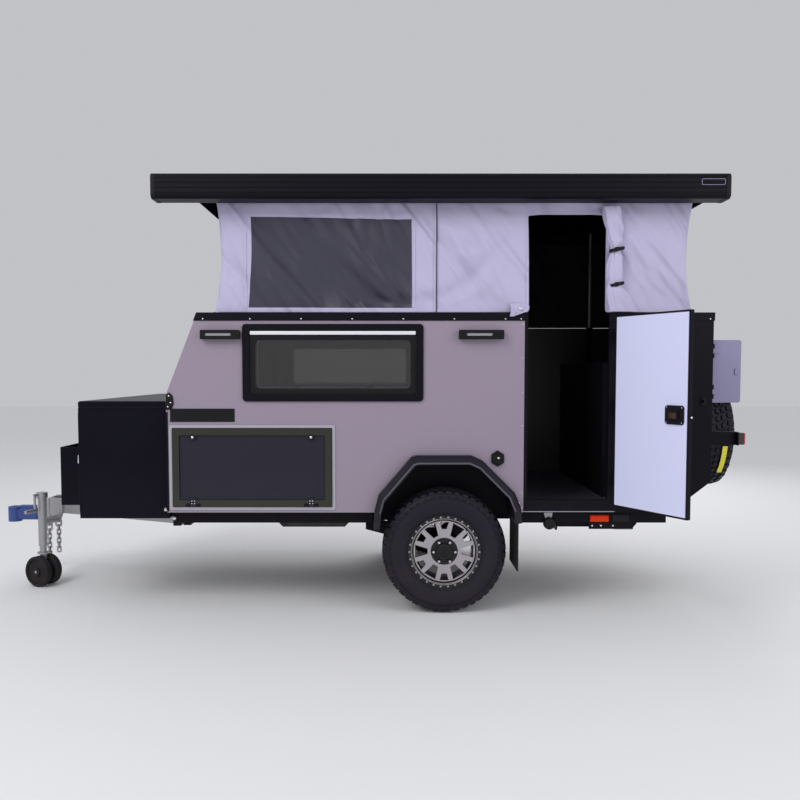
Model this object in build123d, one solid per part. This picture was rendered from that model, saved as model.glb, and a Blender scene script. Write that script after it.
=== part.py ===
from build123d import *
import os
from math import atan2, cos, degrees, hypot, radians, sin

# Pop-top camper trailer, parked on its jockey wheel with the roof raised.
# +X runs rearward, -Y is the side with the entry door, +Z is up, all in millimetres.
# Heights are given above the ground. The origin is the centre of the coupling's pin bore,
# so everything is lowered by COUPLING_HEIGHT as it is written.

COUPLING_HEIGHT = 480.0
SEAT_GAP = 0.3           # a part at rest lies this far from a curved or moving seat
PANEL_GAP = 5.0          # clearance round doors, lids and other moving panels
RUNNING_FIT = 0.05       # radial clearance of a pin in its bore

# Road wheels: 265/70 R17 off-road tyres on eight inch rims
TYRE_RADIUS = 401.5
TYRE_HALF_WIDTH = 132.5
WHEEL_FLATS = 32
TREAD_HALF_WIDTH = 80.0
SHOULDER_HALF_WIDTH = 112.0
SHOULDER_DROP = 20.0
SIDEWALL_DROP = 83.5
LUG_WIDTH = 40.0
LUG_PROFILE = ((30.0, 72.0), (1.5, 72.0), (4.0, 104.0), (28.0, 126.0), (52.0, 131.0),
               (62.0, 119.0))    # depth below the tread and distance from the middle
BEAD_HALF_WIDTH = 97.5
BEAD_RADIUS = 216.0
RIM_FLANGE_HEIGHT = 21.0
RIM_HALF_WIDTH = 104.0
RIM_WALL = 8.0
RIM_WELL_DEPTH = 24.0
RIM_WELL_BACK = -45.0
RIM_WELL_FRONT = 20.0
RIM_WELL_SLOPE = 25.0
DISC_Z = 80.0
DISC_THICKNESS = 16.0
HUB_PAD_RADIUS = 86.0
HUB_PAD_PROUD = 6.0
HUB_DEPTH = 128.0
RIM_WINDOW_COUNT = 6
RIM_WINDOW_OUTER = 192.0
LONG_WINDOW = (108.0, 25.0)      # inner radius and angle at the outer edge
SHORT_WINDOW = (145.0, 18.0)
WINDOW_TAPER = 0.72
CLAMP_RING_THICKNESS = 14.0
CLAMP_RING_WIDTH = 28.0
CAP_RADIUS = 52.0
CAP_HEIGHT = 26.0
NUT_CIRCLE_RADIUS = 69.85
NUT_RADIUS = 11.0
NUT_HEIGHT = 20.0
NUT_COUNT = 6
STUB_AXLE_RADIUS = 20.0
STUB_AXLE_SHORT = 2.0
RIM_FLANGE_RADIUS = BEAD_RADIUS + RIM_FLANGE_HEIGHT

# Cabin shell
BODY_HALF_WIDTH = 950.0
BODY_FRONT = 1425.0
BODY_REAR = 4900.0
BODY_BOTTOM = 655.0
BODY_TOP = 1930.0
RAKE_HEIGHT = 522.0
RAKE_LENGTH = 206.0
DEPARTURE_LENGTH = 255.0
DEPARTURE_HEIGHT = 197.0
WALL = 30.0
TRIM_HEIGHT = 52.0
TRIM_PROUD = 5.0
INNER_HALF_WIDTH = BODY_HALF_WIDTH - WALL
FLOOR_TOP = BODY_BOTTOM + WALL
RAKE_START_Z = BODY_TOP - RAKE_HEIGHT
RAKE_TOP_X = BODY_FRONT + RAKE_LENGTH
DEPARTURE_X = BODY_REAR - DEPARTURE_LENGTH
DEPARTURE_Z = BODY_BOTTOM + DEPARTURE_HEIGHT

# Axle line and suspension arms
AXLE_X = 3200.0
WHEEL_INSET = 107.5
ARM_PIVOT_DROP = 36.0
ARM_BUSH_RADIUS = 34.0
ARM_THICKNESS = 55.0
ARM_ROOT_HALF = (40.0, 30.0)     # half length and half height at the pivot
ARM_END_HALF = (55.0, 50.0)
ARM_END_CUT = 15.0
ARM_HANGER_HALF = (45.0, 30.0)   # half length at the rail and at the bush
ARM_HANGER_THICKNESS = 15.0
BACKING_RADIUS = 120.0
BACKING_INSET = 60.0
BACKING_THICKNESS = 12.0
AXLE_Z = TYRE_RADIUS
WHEEL_Y = BODY_HALF_WIDTH - WHEEL_INSET

# Entry door on the near side, stored open
DOOR_OPENING_FRONT = 3704.0
DOOR_OPENING_WIDTH = 559.0
DOOR_SILL_HEIGHT = 80.0
JAMB_WIDTH = 22.0
JAMB_FLANGE_PROUD = 4.0
DOOR_OVERLAP_FRONT = 4.0
DOOR_OVERLAP_REAR = 7.0
DOOR_BELOW_SILL = 26.0
DOOR_BELOW_TOP = 24.0
DOOR_THICKNESS = 28.0
DOOR_STANDOFF = JAMB_FLANGE_PROUD + PANEL_GAP
DOOR_LINING_MARGIN = 12.0
DOOR_LINING_THICKNESS = 6.0
LINING_PROUD = 2.0
DOOR_OPEN_ANGLE = 120.0
DOOR_HINGE_OFFSET = 13.0
DOOR_HINGE_STANDOFF = 8.0
DOOR_HINGE_REACH = 14.0
DOOR_STRAP_LENGTH = 120.0
DOOR_HINGE_ABOVE_BOTTOM = (168.0, 618.0, 1068.0)
LATCH_ABOVE_BOTTOM = 598.0
LATCH_INSET = 96.0
LATCH_HALF_WIDTH = 66.0
LATCH_HALF_HEIGHT = 55.0
LATCH_PLATE = 10.0
LATCH_CORNER = 12.0
PADDLE_SHARE = (0.55, 0.5)
PADDLE_PROUD = 14.0
GRIP_HALF_WIDTH = 12.0
GRIP_PROUD = 20.0
DOOR_OPENING_REAR = DOOR_OPENING_FRONT + DOOR_OPENING_WIDTH
DOOR_SILL_Z = BODY_BOTTOM + DOOR_SILL_HEIGHT
DOOR_FRONT = DOOR_OPENING_FRONT - DOOR_OVERLAP_FRONT
DOOR_REAR = DOOR_OPENING_REAR + DOOR_OVERLAP_REAR
DOOR_BOTTOM = DOOR_SILL_Z - DOOR_BELOW_SILL
DOOR_TOP = BODY_TOP - DOOR_BELOW_TOP
DOOR_HINGE_X = DOOR_REAR + DOOR_HINGE_OFFSET

# Hinge knuckles
HINGE_LENGTH = 90.0
HINGE_PIN_RADIUS = 4.0
HINGE_WALL = 5.0
HINGE_LEAF = 4.0

# Windows, one on each side
WINDOW_FRONT = 1916.0
WINDOW_LENGTH = 1147.0
WINDOW_BELOW_TOP = 73.0
WINDOW_HEIGHT = 490.0
WINDOW_BORDER = 46.0
WINDOW_FLANGE = 16.0
WINDOW_CORNER = 24.0
WINDOW_PROUD = 12.0
GLASS_THICKNESS = 6.0
GLASS_PROUD = 2.0
WINDOW_REAR = WINDOW_FRONT + WINDOW_LENGTH
WINDOW_TOP = BODY_TOP - WINDOW_BELOW_TOP
WINDOW_BOTTOM = WINDOW_TOP - WINDOW_HEIGHT

# Side hatch of the under-bed tunnel, hinged along its lower edge
HATCH_FRONT = 1463.0
HATCH_LENGTH = 1019.0
HATCH_ABOVE_BOTTOM = 37.0
HATCH_HEIGHT = 505.0
HATCH_BORDER = 28.0
HATCH_PROUD = 6.0
HATCH_PANEL_THICKNESS = 30.0
HATCH_RING_MARGIN = 20.0
HATCH_RING_PROUD = 3.0
HATCH_HINGE_STANDOFF = 16.0
HATCH_HINGE_INSET = 133.0
HATCH_LOCK_HALF_SIZE = 22.0
HATCH_LOCK_DROP = 24.0
HATCH_LOCK_CORNER = 6.0
HATCH_LEAF_HEIGHT = 42.0
HATCH_REAR = HATCH_FRONT + HATCH_LENGTH
HATCH_BOTTOM = BODY_BOTTOM + HATCH_ABOVE_BOTTOM
HATCH_TOP = HATCH_BOTTOM + HATCH_HEIGHT
HATCH_HINGE_Z = HATCH_BOTTOM + HATCH_BORDER / 2
HATCH_HINGE_Y = -(BODY_HALF_WIDTH + HATCH_HINGE_STANDOFF)
HATCH_HINGE_X = (HATCH_FRONT + HATCH_HINGE_INSET, HATCH_REAR - HATCH_HINGE_INSET)

# Wheel arches: outline points in X and Z, measured from the axle
ARCH_INNER = ((-415, 154), (-403, 260), (-382, 332), (-181, 566), (191, 570), (425, 332),
              (446, 195))
FENDER_OUTER = ((-455, 154), (-447, 276), (-422, 372), (-213, 615), (-180, 624), (167, 624),
                (239, 591), (441, 389), (482, 292), (490, 195))
FENDER_PROUD = 75.0
FENDER_EDGE_CHAMFER = 18.0
FENDER_GROOVE_DEPTH = 5.0
FENDER_GROOVE_SHARES = (0.91, 0.94)
LINER = 15.0
WELL_SIDE_GAP = 20.0
FLAP_THICKNESS = 10.0
FLAP_LENGTH = 305.0
FLAP_FROM_AXLE = 455.0
WELL_INNER_Y = WHEEL_Y - TYRE_HALF_WIDTH - WELL_SIDE_GAP

# Chassis and drawbar
RAIL_WIDTH = 50.0
RAIL_HEIGHT = 100.0
SIDE_RAIL_HEIGHT = 80.0
MAIN_RAIL_INSET = 350.0
SIDE_RAIL_INSET = 100.0
CROSS_MEMBER_WIDTH = 50.0
CROSS_MEMBER_X = (1900.0, 2700.0, 3750.0, 4470.0)
ARM_CROSS_X = CROSS_MEMBER_X[1]
SIDE_RAIL_BREAK = 465.0
CHASSIS_OVERHANG = 15.0
DRAWBAR_DROP = 45.0
DRAWBAR_HEIGHT = 100.0
DRAWBAR_NOSE_X = 300.0
DRAWBAR_NOSE_Y = 70.0
DRAWBAR_REAR_Y = 560.0
DRAWBAR_CROSS_X = 820.0
DRAWBAR_CROSS_LENGTH = 40.0
DRAWBAR_SEAT = 60.0
NOSE_PLATE = 18.0
NOSE_PLATE_DROP = 50.0
NOSE_PLATE_MARGIN = 30.0
RECOVERY_PLATE = 20.0
RECOVERY_BORE_RADIUS = 12.0
RECOVERY_REACH = 45.0
RECOVERY_INSET = 120.0
RECOVERY_BELOW_FLOOR = 65.0
RECOVERY_EDGE = 28.0
RECOVERY_ROOT = 40.0
RECOVERY_DROP = 30.0
MAIN_RAIL_Y = BODY_HALF_WIDTH - MAIN_RAIL_INSET
SIDE_RAIL_Y = BODY_HALF_WIDTH - SIDE_RAIL_INSET
RAIL_BOTTOM = BODY_BOTTOM - RAIL_HEIGHT
SIDE_RAIL_BOTTOM = BODY_BOTTOM - SIDE_RAIL_HEIGHT
CHASSIS_FRONT = BODY_FRONT + CHASSIS_OVERHANG
DRAWBAR_TOP = BODY_BOTTOM - DRAWBAR_DROP
DRAWBAR_BOTTOM = DRAWBAR_TOP - DRAWBAR_HEIGHT
RECOVERY_X = DEPARTURE_X + RECOVERY_REACH
RECOVERY_Y = MAIN_RAIL_Y - RECOVERY_INSET
RECOVERY_Z = BODY_BOTTOM - RECOVERY_BELOW_FLOOR

# Coupling: a head with a vertical pin bore, turning on a shaft in a sleeve
PIN_BORE_RADIUS = 20.0
HEAD_RADIUS = 50.0
HEAD_HEIGHT = 110.0
HEAD_LENGTH = 177.0
NECK_HALF_WIDTH = 36.0
NECK_HALF_HEIGHT = 42.0
SLEEVE_GAP = 7.0
SLEEVE_RADIUS = 38.0
COUPLING_SHAFT_RADIUS = 20.0
FLANGE_THICKNESS = 18.0
FLANGE_HALF_WIDTH = 62.0
FLANGE_CORNER = 14.0
FLANGE_BELOW_TOP = 10.0
GUSSET_HALF = 8.0
GUSSET_RISE = 20.0
GUSSET_RUN = 22.0
NECK_CORNER = 10.0
LATCH_BAR_HALF = 22.0
SHAFT_SHORT = 8.0
SLEEVE_FRONT = HEAD_LENGTH + SLEEVE_GAP

# Safety chains: outer size of one flat-sided link, and where each chain hangs
LINK_LENGTH = 52.0
LINK_WIDTH = 34.0
LINK_WIRE = 9.0
LINK_COUNT = 6
CHAIN_Y = 84.0
CHAIN_LUG_HALF = 24.0
CHAIN_LUG_DROP = 26.0
CHAIN_EYE_RISE = 20.0
CHAIN_EYE_RADIUS = 12.0
SHACKLE_LENGTH = 62.0
SHACKLE_WIDTH = 50.0
SHACKLE_WIRE = 11.0
OUTER_CORNER = 0.42          # share of the half width that a link's corner takes
INNER_CORNER = 0.28

# Jockey wheel on the near drawbar rail
JOCKEY_ALONG = 90.0
JOCKEY_OFFSET = 165.0
JOCKEY_PIVOT_DROP = 145.0
JOCKEY_WHEEL_RADIUS = 110.0
JOCKEY_WHEEL_WIDTH = 55.0
JOCKEY_WHEEL_CHAMFER = 10.0
JOCKEY_RIB_DEPTH = 4.0
JOCKEY_HUB_RADIUS = 34.0
JOCKEY_TREAD = 24.0
JOCKEY_FLATS = 24
JOCKEY_CAP_HEIGHT = 40.0
JOCKEY_FORK_THICKNESS = 26.0
JOCKEY_SIDE_PLAY = 6.0
JOCKEY_AXLE_RADIUS = 10.0
JOCKEY_TUBE_RADIUS = 30.0
JOCKEY_INNER_RADIUS = 24.0
JOCKEY_TUBE_BOTTOM = 290.0
JOCKEY_TUBE_LENGTH = 350.0
JOCKEY_STEM_RADIUS = 15.0
JOCKEY_STEM_LENGTH = 88.0
JOCKEY_CROWN_GAP = 12.0
JOCKEY_CROWN_RADIUS = 40.0
JOCKEY_CROWN_HEIGHT = 12.0
JOCKEY_FORK_FOOT_HALF = 14.0
JOCKEY_FORK_HEAD_HALF = 24.0
JOCKEY_FORK_BOSS_RADIUS = 22.0
PIVOT_PIN_RADIUS = 12.0
PIVOT_BOSS_RADIUS = 26.0
PIVOT_FACE = 85.0
PIVOT_PIN_END = 34.0
PIVOT_PLATE = 10.0
PIVOT_PLATE_TOP = 60.0
CRANK_RADIUS = 9.0
CRANK_REACH = 66.0
CRANK_DROP = 112.0
CRANK_GRIP = 84.0
CRANK_GRIP_RADIUS = 14.0
JOCKEY_PIVOT_Z = DRAWBAR_TOP - JOCKEY_PIVOT_DROP
JOCKEY_CROWN_Z = 2 * JOCKEY_WHEEL_RADIUS + JOCKEY_CROWN_GAP
JOCKEY_TUBE_TOP = JOCKEY_TUBE_BOTTOM + JOCKEY_TUBE_LENGTH

# Front storage boxes
FRONT_BOX_LENGTH = 575.0
FRONT_BOX_INSET = 40.0
FRONT_BOX_HEIGHT = 717.0
LID_DEPTH = 40.0
LID_REAR_GAP = 10.0
BOX_SHEET = 5.0
CROSS_BREAK = 7.0
CROSS_BREAK_MARGIN = 12.0
LID_HINGE_INSET = 17.0
LID_HINGE_RISE = 18.0
LID_HINGE_SIDE = 310.0
LID_STRAP_LENGTH = 60.0
LID_CORNER = 8.0
LID_CATCH_PROUD = 10.0
LID_CATCH_HALF = 26.0
LID_CATCH_CORNER = 8.0
HOLDER_LENGTH = 311.0
HOLDER_RISE = 10.0
HOLDER_HEIGHT = 409.0
HOLDER_HALF_WIDTH = 450.0
FRONT_BOX_FRONT = BODY_FRONT - FRONT_BOX_LENGTH
FRONT_BOX_HALF_WIDTH = BODY_HALF_WIDTH - FRONT_BOX_INSET
FRONT_BOX_LID_Z = DRAWBAR_TOP + FRONT_BOX_HEIGHT
FRONT_BOX_TOP = FRONT_BOX_LID_Z + LID_DEPTH
LID_HINGE_X = BODY_FRONT - LID_HINGE_INSET
LID_HINGE_Z = FRONT_BOX_TOP + LID_HINGE_RISE
LID_HINGE_Y = (LID_HINGE_SIDE - FRONT_BOX_HALF_WIDTH, FRONT_BOX_HALF_WIDTH - LID_HINGE_SIDE)
HOLDER_FRONT = FRONT_BOX_FRONT - HOLDER_LENGTH
HOLDER_BOTTOM = DRAWBAR_TOP + HOLDER_RISE
HOLDER_TOP = HOLDER_BOTTOM + HOLDER_HEIGHT

# Lifting roof, awning case and canvas
ROOF_SET_BACK = 183.0
ROOF_REAR_INSET = 27.0
ROOF_OVERHANG = 5.0
ROOF_RAISED = 688.0
ROOF_DEPTH = 147.0
ROOF_CROWN = 25.0
ROOF_WALL = 30.0
ROOF_END_CHAMFER = 40.0
AWNING_FRONT_REACH = 215.0
AWNING_REAR_REACH = 55.0
AWNING_DROP = 6.0
AWNING_DEPTH = 145.0
AWNING_CAP = 25.0
AWNING_CAP_DROP = 2.0
AWNING_CORNER = 30.0
AWNING_RIB_COUNT = 4
AWNING_RIB_DEPTH = 4.0
AWNING_RIB_HEIGHT = 10.0
CANVAS_INSET = 25.0
CANVAS_FRONT_GAP = 127.0
CANVAS_REAR_GAP = 150.0
CANVAS_LEAN_FRONT = 14.0
CANVAS_LEAN_REAR = 17.0
CANVAS_THICKNESS = 8.0
CANVAS_TUCK = 20.0
CANVAS_DOOR_MARGIN_FRONT = 29.0
CANVAS_DOOR_MARGIN_REAR = 45.0
CANVAS_DOOR_HEIGHT = 601.0
POST_SIZE = 50.0
POST_FRONT_GAP = 209.0
POST_REAR_GAP = 340.0
POST_LENGTH = 765.0
ROD_RADIUS = 15.0
ROD_BORE_CLEARANCE = 0.5
ROD_ENGAGED = 68.0
ROOF_FRONT = BODY_FRONT + ROOF_SET_BACK
ROOF_REAR = BODY_REAR - ROOF_REAR_INSET
ROOF_HALF_WIDTH = BODY_HALF_WIDTH + ROOF_OVERHANG
ROOF_BOTTOM = BODY_TOP + ROOF_RAISED
ROOF_EDGE_TOP = ROOF_BOTTOM + ROOF_DEPTH
AWNING_FRONT = ROOF_FRONT - AWNING_FRONT_REACH
AWNING_REAR = ROOF_REAR + AWNING_REAR_REACH
AWNING_BOTTOM = ROOF_BOTTOM - AWNING_DROP
AWNING_TOP = ROOF_EDGE_TOP
AWNING_OUT = ROOF_HALF_WIDTH + AWNING_DEPTH
CANVAS_HALF_WIDTH = BODY_HALF_WIDTH - CANVAS_INSET
CANVAS_BOTTOM_FRONT = RAKE_TOP_X + CANVAS_FRONT_GAP
CANVAS_BOTTOM_REAR = BODY_REAR - CANVAS_REAR_GAP
CANVAS_TOP_FRONT = CANVAS_BOTTOM_FRONT + CANVAS_LEAN_FRONT
CANVAS_TOP_REAR = CANVAS_BOTTOM_REAR - CANVAS_LEAN_REAR
CANVAS_DOOR_FRONT = DOOR_OPENING_FRONT + CANVAS_DOOR_MARGIN_FRONT
CANVAS_DOOR_REAR = DOOR_OPENING_REAR - CANVAS_DOOR_MARGIN_REAR
CANVAS_DOOR_TOP = BODY_TOP + CANVAS_DOOR_HEIGHT
POST_X = (RAKE_TOP_X + POST_FRONT_GAP, BODY_REAR - POST_REAR_GAP)
POST_BOTTOM = BODY_TOP - POST_LENGTH
ROD_BOTTOM = BODY_TOP - ROD_ENGAGED

# Area lamps on the walls, side markers and small fittings
SCENE_LAMP_X = ((1661.0, 1903.0), (3287.0, 3565.0))
SCENE_LAMP_BELOW_TOP = 115.0
SCENE_LAMP_HEIGHT = 53.0
SCENE_LAMP_PROUD = 38.0
SCENE_LENS_PROUD = 5.0
SCENE_LENS_BORDER = 14.0
SCENE_LAMP_CORNER = 6.0
MARKER_X = (4150.0, 4270.0)
REFLECTOR_X = (4297.0, 4400.0)
MARKER_HALF_HEIGHT = 22.0
MARKER_PROUD = 16.0
MARKER_CORNER = 5.0
REFLECTOR_PROUD = 8.0
FILLER_X = 3537.0
FILLER_ABOVE_BOTTOM = 348.0
FILLER_HALF_WIDTH = 40.0
FILLER_HALF_HEIGHT = 52.0
FILLER_PROUD = 14.0
CATCH_FROM_REAR = 57.0
CATCH_ABOVE_BOTTOM = 715.0
CATCH_PLATE_HALF = (15.0, 25.0)
CATCH_PLATE = 8.0
CATCH_HOOK_HALF = 8.0
CATCH_REACH = 34.0
BADGE_X = (1452.0, 1862.0)
BADGE_ABOVE_HATCH = 40.0
BADGE_HEIGHT = 84.0
BADGE_PROUD = 4.0
SCENE_LAMP_TOP = BODY_TOP - SCENE_LAMP_BELOW_TOP
SCENE_LAMP_BOTTOM = SCENE_LAMP_TOP - SCENE_LAMP_HEIGHT
BADGE_BOTTOM = HATCH_TOP + BADGE_ABOVE_HATCH

# Rear fittings
SPARE_GAP = 141.0
SPARE_ABOVE_BOTTOM = 455.0
CARRIER_ARM_Y = 108.0
CARRIER_ARM_Z = 88.0
CARRIER_ARM_SIZE = 50.0
CARRIER_PLATE = 10.0
CARRIER_HALF_WIDTH = 220.0
CARRIER_HALF_HEIGHT = 190.0
LAMP_ARM_INSET = 70.0
LAMP_ARM_LENGTH = 180.0
LAMP_ARM_ABOVE_BOTTOM = 430.0
LAMP_ARM_HEIGHT = 85.0
LAMP_HALF_WIDTH = 60.0
LAMP_DEPTH = 44.0
LAMP_MARGIN = 5.0
LAMP_CORNER = 8.0
LOCKER_DEPTH = 197.0
LOCKER_INSET = 70.0
LOCKER_WIDTH = 380.0
LOCKER_ABOVE_BOTTOM = 703.0
LOCKER_HEIGHT = 400.0
LOCKER_SHEET = 8.0
LOCKER_DOOR_THICKNESS = 18.0
LOCKER_HINGE_OFFSET = 14.0
LOCKER_HINGE_INSET = 70.0
LOCKER_CORNER = 10.0
LOCKER_HINGE_SEAT = 6.0
LOCKER_LEAF = 50.0
LOCKER_KNOB_FROM_EDGE = (40.0, 20.0)
LOCKER_KNOB_HALF = 18.0
LOCKER_KNOB_PROUD = 8.0
LEG_GAP = 10.5
LEG_SIZE = 45.0
LEG_PIVOT_X = 4430.0
LEG_PIVOT_DROP = 95.0
LEG_LENGTH = 480.0
LEG_CHEEK = 8.0
LEG_CHEEK_GAP = 2.0
LEG_PIN_RADIUS = 8.0
FOOT_THICKNESS = 10.0
FOOT_HALF_WIDTH = 31.0
FOOT_HALF_HEIGHT = 45.0
FOOT_CORNER = 12.0
TANK_X = (2080.0, 2560.0)
TANK_RAIL_GAP = 75.0
TANK_DEPTH = 175.0
TANK_CORNER = 25.0
TANK_HALF_WIDTH = MAIN_RAIL_Y - TANK_RAIL_GAP
SPARE_X = BODY_REAR + SPARE_GAP + TYRE_HALF_WIDTH
SPARE_Z = BODY_BOTTOM + SPARE_ABOVE_BOTTOM
LAMP_ARM_Y = BODY_HALF_WIDTH - LAMP_ARM_INSET
LAMP_ARM_X = BODY_REAR + LAMP_ARM_LENGTH
LAMP_ARM_BOTTOM = BODY_BOTTOM + LAMP_ARM_ABOVE_BOTTOM
LAMP_ARM_TOP = LAMP_ARM_BOTTOM + LAMP_ARM_HEIGHT
LOCKER_REAR = BODY_REAR + LOCKER_DEPTH
LOCKER_HINGE_X = BODY_REAR + LOCKER_HINGE_OFFSET
LOCKER_SIDE = LOCKER_INSET - BODY_HALF_WIDTH
LOCKER_BOTTOM = BODY_BOTTOM + LOCKER_ABOVE_BOTTOM
LOCKER_TOP = LOCKER_BOTTOM + LOCKER_HEIGHT
LEG_Y = SIDE_RAIL_Y - RAIL_WIDTH / 2 - LEG_GAP - LEG_SIZE / 2
LEG_PIVOT_Z = BODY_BOTTOM - LEG_PIVOT_DROP

# Inside the cabin
BED_HEIGHT = 550.0
BED_BOARD = 18.0
BED_LENGTH = 1065.0
BED_POST_GAP = 5.0
MATTRESS_GAP = 8.0
MATTRESS_HEIGHT = 110.0
CABINET_DEPTH = 530.0
CABINET_REAR_GAP = 20.0
CABINET_SIDE_GAP = 20.0
CABINET_WIDTH = 1400.0
CABINET_HEIGHT = 935.0
CABINET_BOARD = 18.0
BED_TOP = FLOOR_TOP + BED_HEIGHT
BED_REAR = BODY_FRONT + WALL + BED_LENGTH
BED_HALF_WIDTH = INNER_HALF_WIDTH - POST_SIZE - BED_POST_GAP
CABINET_REAR = BODY_REAR - WALL - CABINET_REAR_GAP
CABINET_FRONT = CABINET_REAR - CABINET_DEPTH
CABINET_FAR = INNER_HALF_WIDTH - CABINET_SIDE_GAP
CABINET_NEAR = CABINET_FAR - CABINET_WIDTH
CABINET_TOP = FLOOR_TOP + CABINET_HEIGHT


def block(x, y, z):
    """Box from low and high values along each axis."""
    size = (x[1] - x[0], y[1] - y[0], z[1] - z[0])
    return Pos(x[0], y[0], z[0]) * Box(*size, align=(Align.MIN, Align.MIN, Align.MIN))


def side_plate(points, y):
    """Flat plate with an outline of X, Z points, between two Y values."""
    plane = Plane(origin=(0, y[1], 0), x_dir=(1, 0, 0), z_dir=(0, -1, 0))
    return extrude(plane * make_face(Polyline(*points, close=True)), amount=y[1] - y[0])


def plan_plate(points, z):
    """Flat plate with an outline of X, Y points, between two Z values."""
    return extrude(Pos(0, 0, z[0]) * make_face(Polyline(*points, close=True)), amount=z[1] - z[0])


def rod(start, end, radius):
    """Round bar between two points."""
    path = Vector(*end) - Vector(*start)
    plane = Plane(origin=start, z_dir=path)
    return plane * Cylinder(radius, path.length, align=(Align.CENTER, Align.CENTER, Align.MIN))


def both_sides(shape):
    """The shape and its mirror image across the trailer's middle."""
    return [shape, mirror(shape, about=Plane.XZ)]


def frame_ring(x, z, border, y):
    """Rectangular frame in the side plane."""
    inner = block((x[0] + border, x[1] - border), (y[0] - 1, y[1] + 1),
                  (z[0] + border, z[1] - border))
    return block(x, y, z) - inner


def tall_cylinder(radius, z):
    """Cylinder on the Z axis between two heights."""
    return Pos(0, 0, z[0]) * Cylinder(radius, z[1] - z[0],
                                      align=(Align.CENTER, Align.CENTER, Align.MIN))


def hinge(axis_point, direction):
    """Knuckles of a hinge: the two outer ones with the pin, and the middle one with its bore."""
    plane = Plane(origin=axis_point, z_dir=direction)
    half, third = HINGE_LENGTH / 2, HINGE_LENGTH / 6
    radius = HINGE_PIN_RADIUS + HINGE_WALL
    fixed = plane * (tall_cylinder(radius, (-half, -third - SEAT_GAP))
                     + tall_cylinder(radius, (third + SEAT_GAP, half))
                     + tall_cylinder(HINGE_PIN_RADIUS, (-half, half)))
    moving = plane * tall_cylinder(radius, (-third, third))
    bore = plane * tall_cylinder(HINGE_PIN_RADIUS + RUNNING_FIT, (-half, half))
    return fixed, moving, bore


def hinge_spans(middle):
    """Where the two outer knuckles and the middle one lie along the hinge's axis."""
    half, third = HINGE_LENGTH / 2, HINGE_LENGTH / 6
    outer = ((middle - half, middle - third - SEAT_GAP), (middle + third + SEAT_GAP, middle + half))
    return outer, (middle - third, middle + third)


def flat_sided(reach, flats):
    """Regular polygon with its flats at a given distance and one of them facing down."""
    return RegularPolygon(reach, flats, major_radius=False, rotation=180 / flats)


def faceted_disc(levels, flats):
    """Solid about the Z axis with flat sides, from (distance of the flats, height) levels."""
    solid = None
    for (low_reach, low_z), (high_reach, high_z) in zip(levels, levels[1:]):
        low = Pos(0, 0, low_z) * flat_sided(low_reach, flats)
        if low_reach == high_reach:
            layer = extrude(low, amount=high_z - low_z)
        else:
            high = Pos(0, 0, high_z) * flat_sided(high_reach, flats)
            layer = loft([low.face(), high.face()], ruled=True)
        solid = layer if solid is None else solid + layer
    return solid


parts = {}


def add(name, *shapes):
    """Keep pieces under a node's name."""
    parts.setdefault(name, []).extend(shapes)


# Body shell

BODY_OUTLINE = ((BODY_FRONT, BODY_BOTTOM), (DEPARTURE_X, BODY_BOTTOM), (BODY_REAR, DEPARTURE_Z),
                (BODY_REAR, BODY_TOP), (RAKE_TOP_X, BODY_TOP), (BODY_FRONT, RAKE_START_Z))
ABOVE_BODY = 400.0
TALL_OUTLINE = BODY_OUTLINE[:3] + (
    (BODY_REAR, BODY_TOP + ABOVE_BODY),
    (RAKE_TOP_X + ABOVE_BODY * RAKE_LENGTH / RAKE_HEIGHT, BODY_TOP + ABOVE_BODY),
    (BODY_FRONT, RAKE_START_Z))


def arch_points(points, grow=0.0):
    """Arch outline at the axle, grown outward but ending at the same height."""
    grown = []
    for dx, dz in points:
        scale = 1 + grow / hypot(dx, dz)
        grown.append((AXLE_X + dx * scale, AXLE_Z + dz * scale))
    grown[0] = (grown[0][0], AXLE_Z + points[0][1])
    grown[-1] = (grown[-1][0], AXLE_Z + points[-1][1])
    return grown


def arch_cutter(grow, y):
    """Solid that clears the wheel's space, open below."""
    points = arch_points(ARCH_INNER, grow)
    low = RAIL_BOTTOM
    return side_plate([(points[0][0], low)] + points + [(points[-1][0], low)], y)


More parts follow.
